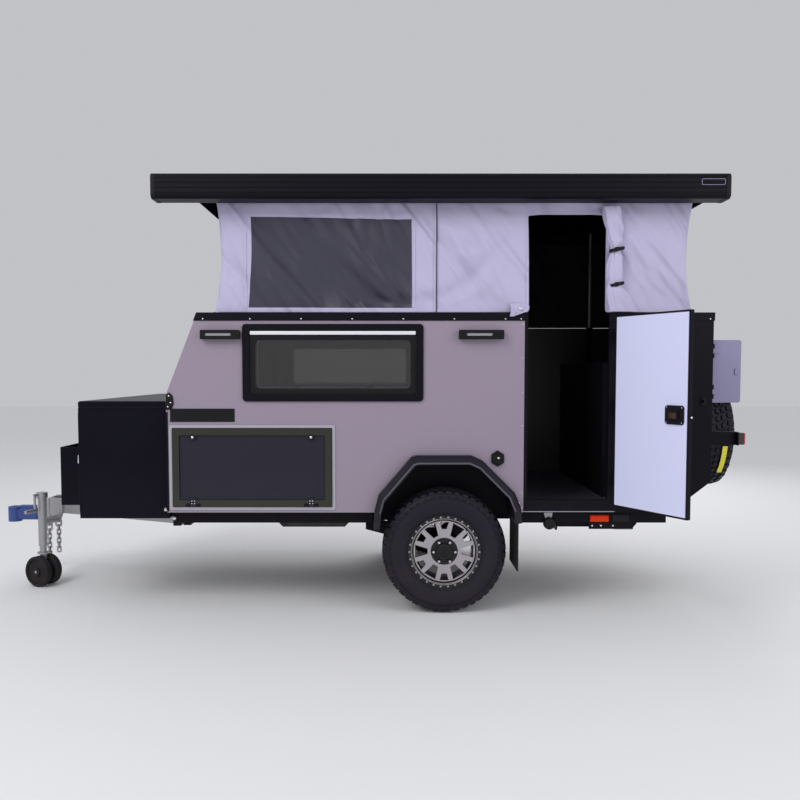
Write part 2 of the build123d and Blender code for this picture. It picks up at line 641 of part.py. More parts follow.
def cabin_walls():
    """Side, front and rear walls and the floor."""
    low, high = -BODY_HALF_WIDTH, -INNER_HALF_WIDTH
    wall = side_plate(BODY_OUTLINE, (low, high))
    wall -= arch_cutter(LINER, (low - 1, high + 1))
    window = block((WINDOW_FRONT + WINDOW_FLANGE, WINDOW_REAR - WINDOW_FLANGE),
                   (low - 1, high + 1),
                   (WINDOW_BOTTOM + WINDOW_FLANGE, WINDOW_TOP - WINDOW_FLANGE))
    wall -= window
    add("wall_far", mirror(wall, about=Plane.XZ))

    doorway = block((DOOR_OPENING_FRONT, DOOR_OPENING_REAR), (low - 1, high + 1),
                    (BODY_BOTTOM - 1, BODY_TOP + 1))
    hatch = block((HATCH_FRONT, HATCH_REAR), (low - 1, high + 1), (HATCH_BOTTOM, HATCH_TOP))
    ring = frame_ring((HATCH_FRONT - HATCH_RING_MARGIN, HATCH_REAR + HATCH_RING_MARGIN),
                      (HATCH_BOTTOM - HATCH_RING_MARGIN, HATCH_TOP + HATCH_RING_MARGIN),
                      HATCH_RING_MARGIN, (low - HATCH_RING_PROUD, low))
    near = (wall - doorway - hatch).solids().sort_by(Axis.X)
    add("wall_near", near[0] + ring)
    add("corner_near", near[-1])

    inside = (-INNER_HALF_WIDTH, INNER_HALF_WIDTH)
    plane = Plane(origin=(0, inside[1], 0), x_dir=(1, 0, 0), z_dir=(0, -1, 0))
    tall = make_face(Polyline(*TALL_OUTLINE, close=True))
    shell = extrude(plane * (tall - offset(tall, amount=-WALL)), amount=inside[1] - inside[0])
    shell -= block((0, BODY_REAR + WALL), inside, (BODY_TOP, BODY_TOP + 2 * ABOVE_BODY))
    floor_zone = block((BODY_FRONT + WALL, DEPARTURE_X - WALL), inside, (BODY_BOTTOM, FLOOR_TOP))
    ends = (shell - floor_zone).solids().sort_by(Axis.X)
    add("wall_front", ends[0])
    add("wall_rear", ends[-1])
    floor_panel = floor_zone
    for side in (-1, 1):
        y = sorted((side * (WELL_INNER_Y - LINER), side * (BODY_HALF_WIDTH + 1)))
        floor_panel -= arch_cutter(LINER, y)
    add("cabin_floor", floor_panel)


def wheel_wells():
    """Steel liners of the wheel arches, open towards the wheel and below."""
    outer = arch_points(ARCH_INNER, LINER)
    inner = arch_points(ARCH_INNER)
    band = list(outer) + list(reversed(inner))
    tunnel = side_plate(band, (-BODY_HALF_WIDTH, -WELL_INNER_Y))
    back = side_plate(outer, (-WELL_INNER_Y, -(WELL_INNER_Y - LINER)))
    add("wheel_wells", *both_sides(tunnel + back))


def fenders():
    """Angular flares outside the arches, and the flaps behind the wheels."""
    outer, inner = arch_points(FENDER_OUTER), arch_points(ARCH_INNER)
    face_y = -(BODY_HALF_WIDTH + FENDER_PROUD)
    flare = side_plate(outer + inner[::-1], (face_y, -BODY_HALF_WIDTH))
    rim_edges = [edge for edge in flare.edges().filter_by_position(Axis.Y, face_y - 1, face_y + 1)
                 if any(abs(edge.center().X - (a[0] + b[0]) / 2) < 1
                        and abs(edge.center().Z - (a[1] + b[1]) / 2) < 1
                        for a, b in zip(outer, outer[1:]))]
    flare = chamfer(rim_edges, FENDER_EDGE_CHAMFER, FENDER_EDGE_CHAMFER)
    groove = [arch_points([(dx * share, dz * share) for dx, dz in FENDER_OUTER[1:-1]])
              for share in FENDER_GROOVE_SHARES]
    flare -= side_plate(groove[0] + groove[1][::-1], (face_y - 1, face_y + FENDER_GROOVE_DEPTH))
    add("fenders", *both_sides(flare))
    flap_x = AXLE_X + FLAP_FROM_AXLE
    flap_top = AXLE_Z + ARCH_INNER[-1][1]
    flap = block((flap_x, flap_x + FLAP_THICKNESS), (face_y + 5, -(WELL_INNER_Y + 10)),
                 (flap_top - FLAP_LENGTH, flap_top))
    add("mud_flaps", *both_sides(flap))


def top_trim():
    """Black edge profile round the top of the body."""
    side = BODY_HALF_WIDTH + TRIM_PROUD
    proud = side_plate(BODY_OUTLINE, (-side, side))
    for shift in (-TRIM_PROUD, TRIM_PROUD):
        proud += side_plate([(x + shift, z) for x, z in BODY_OUTLINE], (-side, side))
    core = side_plate(BODY_OUTLINE, (-BODY_HALF_WIDTH, BODY_HALF_WIDTH))
    low_cut = block((0, BODY_REAR + WALL), (-side, side), (0, BODY_TOP - TRIM_HEIGHT))
    doorway = block((DOOR_OPENING_FRONT, DOOR_OPENING_REAR), (-side, 0), (0, BODY_TOP))
    add("top_trim", proud - core - low_cut - doorway)


def opening_frames():
    """Frames of the doorway, the side hatch and the windows."""
    low, high = -BODY_HALF_WIDTH, -INNER_HALF_WIDTH
    sill = block((DOOR_OPENING_FRONT, DOOR_OPENING_REAR), (low, high), (BODY_BOTTOM, DOOR_SILL_Z))
    for x in ((DOOR_OPENING_FRONT, DOOR_OPENING_FRONT + JAMB_WIDTH),
              (DOOR_OPENING_REAR - JAMB_WIDTH, DOOR_OPENING_REAR)):
        sill += block(x, (low, high), (DOOR_SILL_Z, BODY_TOP))
    hinge_y = low - DOOR_STANDOFF - DOOR_THICKNESS - DOOR_HINGE_STANDOFF
    bracket_x = (DOOR_HINGE_X - HINGE_LEAF, DOOR_HINGE_X + DOOR_HINGE_REACH)
    leaf = []
    for rise in DOOR_HINGE_ABOVE_BOTTOM:
        z = DOOR_BOTTOM + rise
        fixed, moving, bore = hinge((DOOR_HINGE_X, hinge_y, z), (0, 0, 1))
        outer, middle = hinge_spans(z)
        bracket = block(bracket_x, (low - DOOR_HINGE_STANDOFF, low), (outer[0][0], outer[1][1]))
        for span in outer:
            bracket += block(bracket_x, (hinge_y, low), span)
        add("corner_near", bracket + fixed)
        strap = block((DOOR_HINGE_X - DOOR_STRAP_LENGTH, DOOR_HINGE_X),
                      (hinge_y + HINGE_LEAF, hinge_y + DOOR_HINGE_STANDOFF), middle)
        leaf.append(strap + moving - bore)
    frame = frame_ring((HATCH_FRONT, HATCH_REAR), (HATCH_BOTTOM, HATCH_TOP), HATCH_BORDER,
                       (low - HATCH_PROUD, high))
    pane_x = (WINDOW_FRONT + WINDOW_BORDER, WINDOW_REAR - WINDOW_BORDER)
    pane_z = (WINDOW_BOTTOM + WINDOW_BORDER, WINDOW_TOP - WINDOW_BORDER)
    window = block((WINDOW_FRONT, WINDOW_REAR), (low - WINDOW_PROUD, low), (WINDOW_BOTTOM, WINDOW_TOP))
    window = fillet(window.edges().filter_by(Axis.Y), WINDOW_CORNER)
    window -= block(pane_x, (low - WINDOW_PROUD - 1, low + 1), pane_z)
    window += frame_ring((WINDOW_FRONT + WINDOW_FLANGE, WINDOW_REAR - WINDOW_FLANGE),
                         (WINDOW_BOTTOM + WINDOW_FLANGE, WINDOW_TOP - WINDOW_FLANGE),
                         WINDOW_BORDER - WINDOW_FLANGE, (low, high))
    add("opening_frames", sill, frame, *both_sides(window))
    glass = block(pane_x, (low - GLASS_PROUD, low - GLASS_PROUD + GLASS_THICKNESS), pane_z)
    add("window_glass", *both_sides(glass))
    return leaf


def entry_door(straps):
    """Door leaf with its lining, handle and hinge straps, turned to where it stands open."""
    inner_y = -(BODY_HALF_WIDTH + DOOR_STANDOFF)
    outer_y = inner_y - DOOR_THICKNESS
    leaf = block((DOOR_FRONT, DOOR_REAR), (outer_y, inner_y - DOOR_LINING_THICKNESS),
                 (DOOR_BOTTOM, DOOR_TOP))
    leaf += frame_ring((DOOR_FRONT, DOOR_REAR), (DOOR_BOTTOM, DOOR_TOP), DOOR_LINING_MARGIN,
                       (inner_y - DOOR_LINING_THICKNESS, inner_y))
    for strap in straps:
        leaf += strap
    lining = block((DOOR_FRONT + DOOR_LINING_MARGIN, DOOR_REAR - DOOR_LINING_MARGIN),
                   (inner_y - DOOR_LINING_THICKNESS, inner_y + LINING_PROUD),
                   (DOOR_BOTTOM + DOOR_LINING_MARGIN, DOOR_TOP - DOOR_LINING_MARGIN))
    x, z = DOOR_FRONT + LATCH_INSET, DOOR_BOTTOM + LATCH_ABOVE_BOTTOM
    face = inner_y + LINING_PROUD
    latch_x = (x - LATCH_HALF_WIDTH, x + LATCH_HALF_WIDTH)
    latch_z = (z - LATCH_HALF_HEIGHT, z + LATCH_HALF_HEIGHT)
    plate_face = face + LATCH_PLATE
    inside = block(latch_x, (face, plate_face), latch_z)
    inside = chamfer(inside.edges().filter_by(Axis.Y), LATCH_CORNER)
    wide, tall = LATCH_HALF_WIDTH * PADDLE_SHARE[0], LATCH_HALF_HEIGHT * PADDLE_SHARE[1]
    inside += side_plate([(x - wide, z - tall), (x + wide, z - tall), (x + wide, z + tall / 2),
                          (x + wide / 2, z + tall), (x - wide, z + tall)],
                         (plate_face, plate_face + PADDLE_PROUD))
    outer_face = outer_y - LATCH_PLATE
    outside = block(latch_x, (outer_face, outer_y), latch_z)
    outside = chamfer(outside.edges().filter_by(Axis.Y), LATCH_CORNER)
    outside += block((x - GRIP_HALF_WIDTH, x + GRIP_HALF_WIDTH), (outer_face - GRIP_PROUD, outer_face),
                     (z - tall, z + tall))
    hinge_line = Axis((DOOR_HINGE_X, outer_y - DOOR_HINGE_STANDOFF, 0), (0, 0, 1))
    turned = [shape.rotate(hinge_line, DOOR_OPEN_ANGLE) for shape in (leaf, lining, inside, outside)]
    add("entry_door", turned[0])
    add("door_lining", turned[1])
    add("door_handle", turned[2], turned[3])


def side_hatch():
    """Hatch leaf, its locks and the hinges along its lower edge."""
    gap = HATCH_BORDER + PANEL_GAP
    outer_y = -(BODY_HALF_WIDTH + HATCH_PROUD)
    panel = block((HATCH_FRONT + gap, HATCH_REAR - gap),
                  (outer_y, outer_y + HATCH_PANEL_THICKNESS),
                  (HATCH_BOTTOM + gap, HATCH_TOP - gap))
    for x in HATCH_HINGE_X:
        fixed, moving, bore = hinge((x, HATCH_HINGE_Y, HATCH_HINGE_Z), (1, 0, 0))
        outer, middle = hinge_spans(x)
        plates = fixed
        for span in outer:
            plates += block(span, (HATCH_HINGE_Y, outer_y),
                            (HATCH_HINGE_Z - 2 * HINGE_LEAF, HATCH_HINGE_Z + HINGE_LEAF))
        add("opening_frames", plates)
        leaf_top = HATCH_HINGE_Z + HATCH_LEAF_HEIGHT
        strap = block(middle, (HATCH_HINGE_Y - HINGE_LEAF, HATCH_HINGE_Y + HINGE_LEAF),
                      (HATCH_HINGE_Z, leaf_top))
        strap += block(middle, (HATCH_HINGE_Y, outer_y), (HATCH_BOTTOM + gap + HINGE_LEAF, leaf_top))
        panel += strap + moving - bore
        lock_z = HATCH_TOP - gap - HATCH_LOCK_DROP
        lock = block((x - HATCH_LOCK_HALF_SIZE, x + HATCH_LOCK_HALF_SIZE),
                     (outer_y - 2 * HINGE_LEAF, outer_y),
                     (lock_z - HATCH_LOCK_HALF_SIZE, lock_z + HATCH_LOCK_HALF_SIZE))
        panel += chamfer(lock.edges().filter_by(Axis.Y), HATCH_LOCK_CORNER)
    add("side_hatch", panel)


# Chassis

def cross_bar(x, half_length, low):
    """Cross member from one X, centred on the trailer, up to the floor."""
    return block((x, x + CROSS_MEMBER_WIDTH), (-half_length, half_length), (low, BODY_BOTTOM))


def recovery_tab(side):
    """Tapered plate with its eye, behind the last cross member."""
    edge = RECOVERY_X + RECOVERY_EDGE
    y = (side * RECOVERY_Y - RECOVERY_PLATE / 2, side * RECOVERY_Y + RECOVERY_PLATE / 2)
    tab = side_plate([(DEPARTURE_X - RECOVERY_ROOT, SIDE_RAIL_BOTTOM - RECOVERY_DROP),
                      (edge, RECOVERY_Z - RECOVERY_EDGE), (edge, RECOVERY_Z + RECOVERY_EDGE),
                      (DEPARTURE_X, BODY_BOTTOM - HINGE_WALL),
                      (DEPARTURE_X - RECOVERY_ROOT, SIDE_RAIL_BOTTOM)], y)
    return tab - rod((RECOVERY_X, y[0] - 1, RECOVERY_Z), (RECOVERY_X, y[1] + 1, RECOVERY_Z),
                     RECOVERY_BORE_RADIUS)


def leg_cheeks(side):
    """Two tapered cheeks and the pin that carry a rear leg."""
    shape = rod((LEG_PIVOT_X, side * LEG_Y - LEG_SIZE / 2 - LEG_CHEEK, LEG_PIVOT_Z),
                (LEG_PIVOT_X, side * LEG_Y + LEG_SIZE / 2 + LEG_CHEEK, LEG_PIVOT_Z),
                LEG_PIN_RADIUS)
    wide, narrow, drop = LEG_SIZE * 0.8, LEG_SIZE * 0.4, LEG_SIZE * 0.55
    outline = [(LEG_PIVOT_X - wide, BODY_BOTTOM), (LEG_PIVOT_X - wide, LEG_PIVOT_Z),
               (LEG_PIVOT_X - narrow, LEG_PIVOT_Z - drop), (LEG_PIVOT_X + narrow, LEG_PIVOT_Z - drop),
               (CROSS_MEMBER_X[-1], LEG_PIVOT_Z), (CROSS_MEMBER_X[-1], BODY_BOTTOM)]
    inner = LEG_SIZE / 2 + LEG_CHEEK_GAP
    for edge in (-1, 1):
        shape += side_plate(outline, sorted((side * LEG_Y + edge * inner,
                                             side * LEG_Y + edge * (inner + LEG_CHEEK))))
    return shape


def chassis():
    """Main rails, side rails, cross members, leg brackets, recovery points and the water tank."""
    half = RAIL_WIDTH / 2
    inner_front = CHASSIS_FRONT + CROSS_MEMBER_WIDTH
    frame = cross_bar(CHASSIS_FRONT, SIDE_RAIL_Y + half, RAIL_BOTTOM)
    frame += cross_bar(CHASSIS_FRONT, DRAWBAR_REAR_Y + DRAWBAR_SEAT, DRAWBAR_BOTTOM)
    frame += cross_bar(DEPARTURE_X - CROSS_MEMBER_WIDTH, SIDE_RAIL_Y + half, SIDE_RAIL_BOTTOM)
    for x in CROSS_MEMBER_X:
        frame += cross_bar(x, MAIN_RAIL_Y, RAIL_BOTTOM)
        if x != ARM_CROSS_X:
            frame += cross_bar(x, SIDE_RAIL_Y, SIDE_RAIL_BOTTOM)
    for side in (-1, 1):
        y = (side * MAIN_RAIL_Y - half, side * MAIN_RAIL_Y + half)
        frame += block((inner_front, DEPARTURE_X), y, (RAIL_BOTTOM, BODY_BOTTOM))
        y = (side * SIDE_RAIL_Y - half, side * SIDE_RAIL_Y + half)
        for x in ((inner_front, AXLE_X - SIDE_RAIL_BREAK), (AXLE_X + SIDE_RAIL_BREAK, DEPARTURE_X)):
            frame += block(x, y, (SIDE_RAIL_BOTTOM, BODY_BOTTOM))
        frame += recovery_tab(side) + leg_cheeks(side)
    add("chassis", frame)
    tank = block(TANK_X, (-TANK_HALF_WIDTH, TANK_HALF_WIDTH), (BODY_BOTTOM - TANK_DEPTH, BODY_BOTTOM))
    tank = chamfer(tank.edges().filter_by(Axis.Y).group_by(Axis.Z)[0], TANK_CORNER)
    add("water_tank", tank)


def rear_legs():
    """Swing-down stabiliser legs, stored level and pointing forward."""
    half = LEG_SIZE / 2
    for name, side in (("rear_leg_near", -1), ("rear_leg_far", 1)):
        y = (side * LEG_Y - half, side * LEG_Y + half)
        end_x = LEG_PIVOT_X - LEG_LENGTH
        leg = block((end_x, LEG_PIVOT_X + half), y, (LEG_PIVOT_Z - half, LEG_PIVOT_Z + half))
        leg = chamfer(leg.edges().filter_by(Axis.Y).group_by(Axis.X)[-1], half * 0.6)
        leg -= rod((LEG_PIVOT_X, y[0] - 1, LEG_PIVOT_Z), (LEG_PIVOT_X, y[1] + 1, LEG_PIVOT_Z),
                   LEG_PIN_RADIUS + RUNNING_FIT)
        foot = block((end_x - FOOT_THICKNESS, end_x),
                     (side * LEG_Y - FOOT_HALF_WIDTH, side * LEG_Y + FOOT_HALF_WIDTH),
                     (LEG_PIVOT_Z - FOOT_HALF_HEIGHT, LEG_PIVOT_Z + FOOT_HALF_HEIGHT))
        add(name, leg + chamfer(foot.edges().filter_by(Axis.X), FOOT_CORNER))


def trailing_arms():
    """Independent arms that carry the stub axles."""
    pivot_x = ARM_CROSS_X + CROSS_MEMBER_WIDTH / 2
    pivot_z = RAIL_BOTTOM - ARM_PIVOT_DROP
    arm_y = (-(MAIN_RAIL_Y + ARM_THICKNESS), -MAIN_RAIL_Y)
    root_x, root_z = ARM_ROOT_HALF
    end_x, end_z = ARM_END_HALF
    arm = side_plate([(pivot_x - root_x, pivot_z - root_z), (AXLE_X, AXLE_Z - end_z),
                      (AXLE_X + end_x, AXLE_Z), (AXLE_X + end_x - ARM_END_CUT, AXLE_Z + end_z),
                      (pivot_x + root_x, pivot_z + root_z), (pivot_x - root_x, pivot_z + root_z)],
                     arm_y)
    back_y = -(WHEEL_Y - BACKING_INSET)
    arm += rod((AXLE_X, arm_y[0], AXLE_Z), (AXLE_X, back_y, AXLE_Z), STUB_AXLE_RADIUS * 2)
    arm += rod((AXLE_X, back_y, AXLE_Z), (AXLE_X, back_y - BACKING_THICKNESS, AXLE_Z),
               BACKING_RADIUS)
    hub_end = -(WHEEL_Y + DISC_Z + DISC_THICKNESS - STUB_AXLE_SHORT)
    arm += rod((AXLE_X, back_y, AXLE_Z), (AXLE_X, hub_end, AXLE_Z), STUB_AXLE_RADIUS)
    arm += rod((pivot_x, arm_y[0], pivot_z),
               (pivot_x, arm_y[1] + ARM_HANGER_THICKNESS + HINGE_WALL, pivot_z), ARM_BUSH_RADIUS)
    wide, narrow = ARM_HANGER_HALF
    arm += side_plate([(pivot_x - wide, RAIL_BOTTOM), (pivot_x - narrow, pivot_z - ARM_BUSH_RADIUS),
                       (pivot_x + narrow, pivot_z - ARM_BUSH_RADIUS), (pivot_x + wide, RAIL_BOTTOM)],
                      (arm_y[1], arm_y[1] + ARM_HANGER_THICKNESS))
    add("trailing_arms", *both_sides(arm))


def drawbar_centre(x):
    """Y of the near drawbar rail's centre line at X."""
    share = (x - DRAWBAR_NOSE_X) / (CHASSIS_FRONT - DRAWBAR_NOSE_X)
    return -(DRAWBAR_NOSE_Y + share * (DRAWBAR_REAR_Y - DRAWBAR_NOSE_Y))


RAIL_ANGLE = degrees(atan2(-(DRAWBAR_REAR_Y - DRAWBAR_NOSE_Y), CHASSIS_FRONT - DRAWBAR_NOSE_X))
JOCKEY_FRAME = (Pos(DRAWBAR_NOSE_X + JOCKEY_ALONG * cos(radians(RAIL_ANGLE)),
                    drawbar_centre(DRAWBAR_NOSE_X + JOCKEY_ALONG * cos(radians(RAIL_ANGLE))), 0)
                * Rot(0, 0, RAIL_ANGLE))


def drawbar():
    """A-frame rails with their nose plate, cross member and jockey wheel bracket."""
    half = RAIL_WIDTH / 2 / cos(radians(RAIL_ANGLE))
    nose, rear = drawbar_centre(DRAWBAR_NOSE_X), drawbar_centre(CHASSIS_FRONT)
    rail = plan_plate([(DRAWBAR_NOSE_X, nose - half), (CHASSIS_FRONT, rear - half),
                       (CHASSIS_FRONT, rear + half), (DRAWBAR_NOSE_X, nose + half)],
                      (DRAWBAR_BOTTOM, DRAWBAR_TOP))
    frame = rail + mirror(rail, about=Plane.XZ)
    cross_y = -drawbar_centre(DRAWBAR_CROSS_X)
    frame += block((DRAWBAR_CROSS_X, DRAWBAR_CROSS_X + DRAWBAR_CROSS_LENGTH), (-cross_y, cross_y),
                   (DRAWBAR_BOTTOM + DRAWBAR_HEIGHT / 5, DRAWBAR_TOP))
    plate_half = DRAWBAR_NOSE_Y + NOSE_PLATE_MARGIN
    frame += block((DRAWBAR_NOSE_X - NOSE_PLATE, DRAWBAR_NOSE_X), (-plate_half, plate_half),
                   (COUPLING_HEIGHT - NOSE_PLATE_DROP, DRAWBAR_TOP))
    rest_x = HOLDER_FRONT + DRAWBAR_CROSS_LENGTH
    rest_y = -drawbar_centre(rest_x)
    frame += block((rest_x, rest_x + DRAWBAR_CROSS_LENGTH), (-rest_y, rest_y),
                   (DRAWBAR_TOP - DRAWBAR_HEIGHT / 2, HOLDER_BOTTOM))
    lug_bottom = COUPLING_HEIGHT - NOSE_PLATE_DROP - CHAIN_LUG_DROP
    eye_z = lug_bottom + CHAIN_EYE_RISE
    for side in (-1, 1):
        y = side * CHAIN_Y
        frame += block((DRAWBAR_NOSE_X - NOSE_PLATE, DRAWBAR_NOSE_X),
                       (y - CHAIN_LUG_HALF, y + CHAIN_LUG_HALF),
                       (lug_bottom, COUPLING_HEIGHT - NOSE_PLATE_DROP))
        frame -= rod((DRAWBAR_NOSE_X - NOSE_PLATE - 1, y, eye_z), (DRAWBAR_NOSE_X + 1, y, eye_z),
                     CHAIN_EYE_RADIUS)
    pin_end = -JOCKEY_OFFSET + PIVOT_PIN_END
    bracket = side_plate([(-PIVOT_PLATE_TOP, DRAWBAR_TOP), (-PIVOT_PLATE_TOP, DRAWBAR_BOTTOM),
                          (-PIVOT_BOSS_RADIUS, JOCKEY_PIVOT_Z - PIVOT_BOSS_RADIUS),
                          (PIVOT_BOSS_RADIUS, JOCKEY_PIVOT_Z - PIVOT_BOSS_RADIUS),
                          (PIVOT_PLATE_TOP, DRAWBAR_BOTTOM), (PIVOT_PLATE_TOP, DRAWBAR_TOP)],
                         (-RAIL_WIDTH / 2 - PIVOT_PLATE, -RAIL_WIDTH / 2))
    bracket += rod((0, -RAIL_WIDTH / 2, JOCKEY_PIVOT_Z), (0, -PIVOT_FACE, JOCKEY_PIVOT_Z),
                   PIVOT_BOSS_RADIUS)
    bracket += rod((0, -PIVOT_FACE, JOCKEY_PIVOT_Z), (0, pin_end, JOCKEY_PIVOT_Z),
                   PIVOT_PIN_RADIUS)
    add("drawbar", frame + JOCKEY_FRAME * bracket)


def coupling():
    """Flanged sleeve on the drawbar's nose, and the head that turns in it."""
    z = COUPLING_HEIGHT
    flange_back = DRAWBAR_NOSE_X - NOSE_PLATE
    flange_x = flange_back - FLANGE_THICKNESS
    body = block((flange_x, flange_back), (-FLANGE_HALF_WIDTH, FLANGE_HALF_WIDTH),
                 (z - NOSE_PLATE_DROP, DRAWBAR_TOP - FLANGE_BELOW_TOP))
    body = chamfer(body.edges().filter_by(Axis.X), FLANGE_CORNER)
    body += rod((SLEEVE_FRONT, 0, z), (flange_x, 0, z), SLEEVE_RADIUS)
    gusset_top = DRAWBAR_TOP - 2 * FLANGE_BELOW_TOP
    body += side_plate([(SLEEVE_FRONT + SLEEVE_GAP, z + GUSSET_RISE), (flange_x, z + GUSSET_RISE),
                        (flange_x, gusset_top), (flange_x - GUSSET_RUN, gusset_top)],
                       (-GUSSET_HALF, GUSSET_HALF))
    shaft_end = flange_back - SHAFT_SHORT
    body -= rod((SLEEVE_FRONT - 1, 0, z), (shaft_end + 2, 0, z), COUPLING_SHAFT_RADIUS + RUNNING_FIT)
    add("coupling_body", body)
    head = Pos(0, 0, z) * Cylinder(HEAD_RADIUS, HEAD_HEIGHT)
    neck = block((0, HEAD_LENGTH), (-NECK_HALF_WIDTH, NECK_HALF_WIDTH),
                 (z - NECK_HALF_HEIGHT, z + NECK_HALF_HEIGHT))
    head += chamfer(neck.edges().filter_by(Axis.X), NECK_CORNER)
    head += block((HEAD_RADIUS - NECK_CORNER, HEAD_LENGTH - 2 * NECK_CORNER),
                  (-LATCH_BAR_HALF, LATCH_BAR_HALF),
                  (z + NECK_HALF_HEIGHT, z + NECK_HALF_HEIGHT + LATCH_BAR_HALF))
    head += rod((HEAD_LENGTH - 1, 0, z), (shaft_end, 0, z), COUPLING_SHAFT_RADIUS)
    head -= Pos(0, 0, z) * Cylinder(PIN_BORE_RADIUS, HEAD_HEIGHT + 2)
    add("coupling_head", head)


def chain_link(length, width, wire):
    """Closed link of flat-sided wire in the X, Z plane, hanging down from the origin."""
    def ring(reach_x, reach_z, corner_share):
        corner = reach_x * corner_share
        right = [(reach_x - corner, reach_z), (reach_x, reach_z - corner),
                 (reach_x, corner - reach_z), (reach_x - corner, -reach_z)]
        points = right + [(-x, z) for x, z in reversed(right)]
        return [(x, z - length / 2) for x, z in points]
    outside = ring(width / 2, length / 2, OUTER_CORNER)
    inside = ring(width / 2 - wire, length / 2 - wire, INNER_CORNER)
    return side_plate(outside, (-wire / 2, wire / 2)) - side_plate(inside, (-wire, wire))


def safety_chains():
    """A shackle and a chain each side, hanging straight from the nose plate's eyes."""
    eye_z = COUPLING_HEIGHT - NOSE_PLATE_DROP - CHAIN_LUG_DROP + CHAIN_EYE_RISE
    seat_z = eye_z - (CHAIN_EYE_RADIUS ** 2 - (SHACKLE_WIRE / 2) ** 2) ** 0.5
    shackle = chain_link(SHACKLE_LENGTH, SHACKLE_WIDTH, SHACKLE_WIRE)
    link = chain_link(LINK_LENGTH, LINK_WIDTH, LINK_WIRE)
    for side in (-1, 1):
        hang = Pos(DRAWBAR_NOSE_X - NOSE_PLATE / 2, side * CHAIN_Y, 0)
        top = seat_z + SHACKLE_WIRE + SEAT_GAP
        add("safety_chains", hang * Pos(0, 0, top) * shackle)
        seat = top - SHACKLE_LENGTH + SHACKLE_WIRE
        for index in range(LINK_COUNT):
            top = seat + LINK_WIRE + SEAT_GAP
            add("safety_chains", hang * Pos(0, 0, top) * Rot(0, 0, 90 * ((index + 1) % 2)) * link)
            seat = top - LINK_LENGTH + LINK_WIRE


def jockey_wheel():
    """Ribbed solid wheel about the Z axis, one face on the origin."""
    width, edge = JOCKEY_WHEEL_WIDTH, JOCKEY_WHEEL_CHAMFER
    reach, groove = JOCKEY_WHEEL_RADIUS, JOCKEY_WHEEL_RADIUS - JOCKEY_RIB_DEPTH
    half = [(reach - edge, 0), (reach, edge), (reach, width * 0.4), (groove, width * 0.46)]
    wheel = faceted_disc(half + [(r, width - z) for r, z in reversed(half)], JOCKEY_FLATS)
    rim = reach - JOCKEY_TREAD
    for z in (0, width - edge):
        recess = faceted_disc([(rim, z - 1), (rim, z + edge + 1)], JOCKEY_FLATS)
        wheel -= recess - tall_cylinder(JOCKEY_HUB_RADIUS, (0, width))
    return wheel - tall_cylinder(JOCKEY_AXLE_RADIUS + RUNNING_FIT, (-1, width + 1))


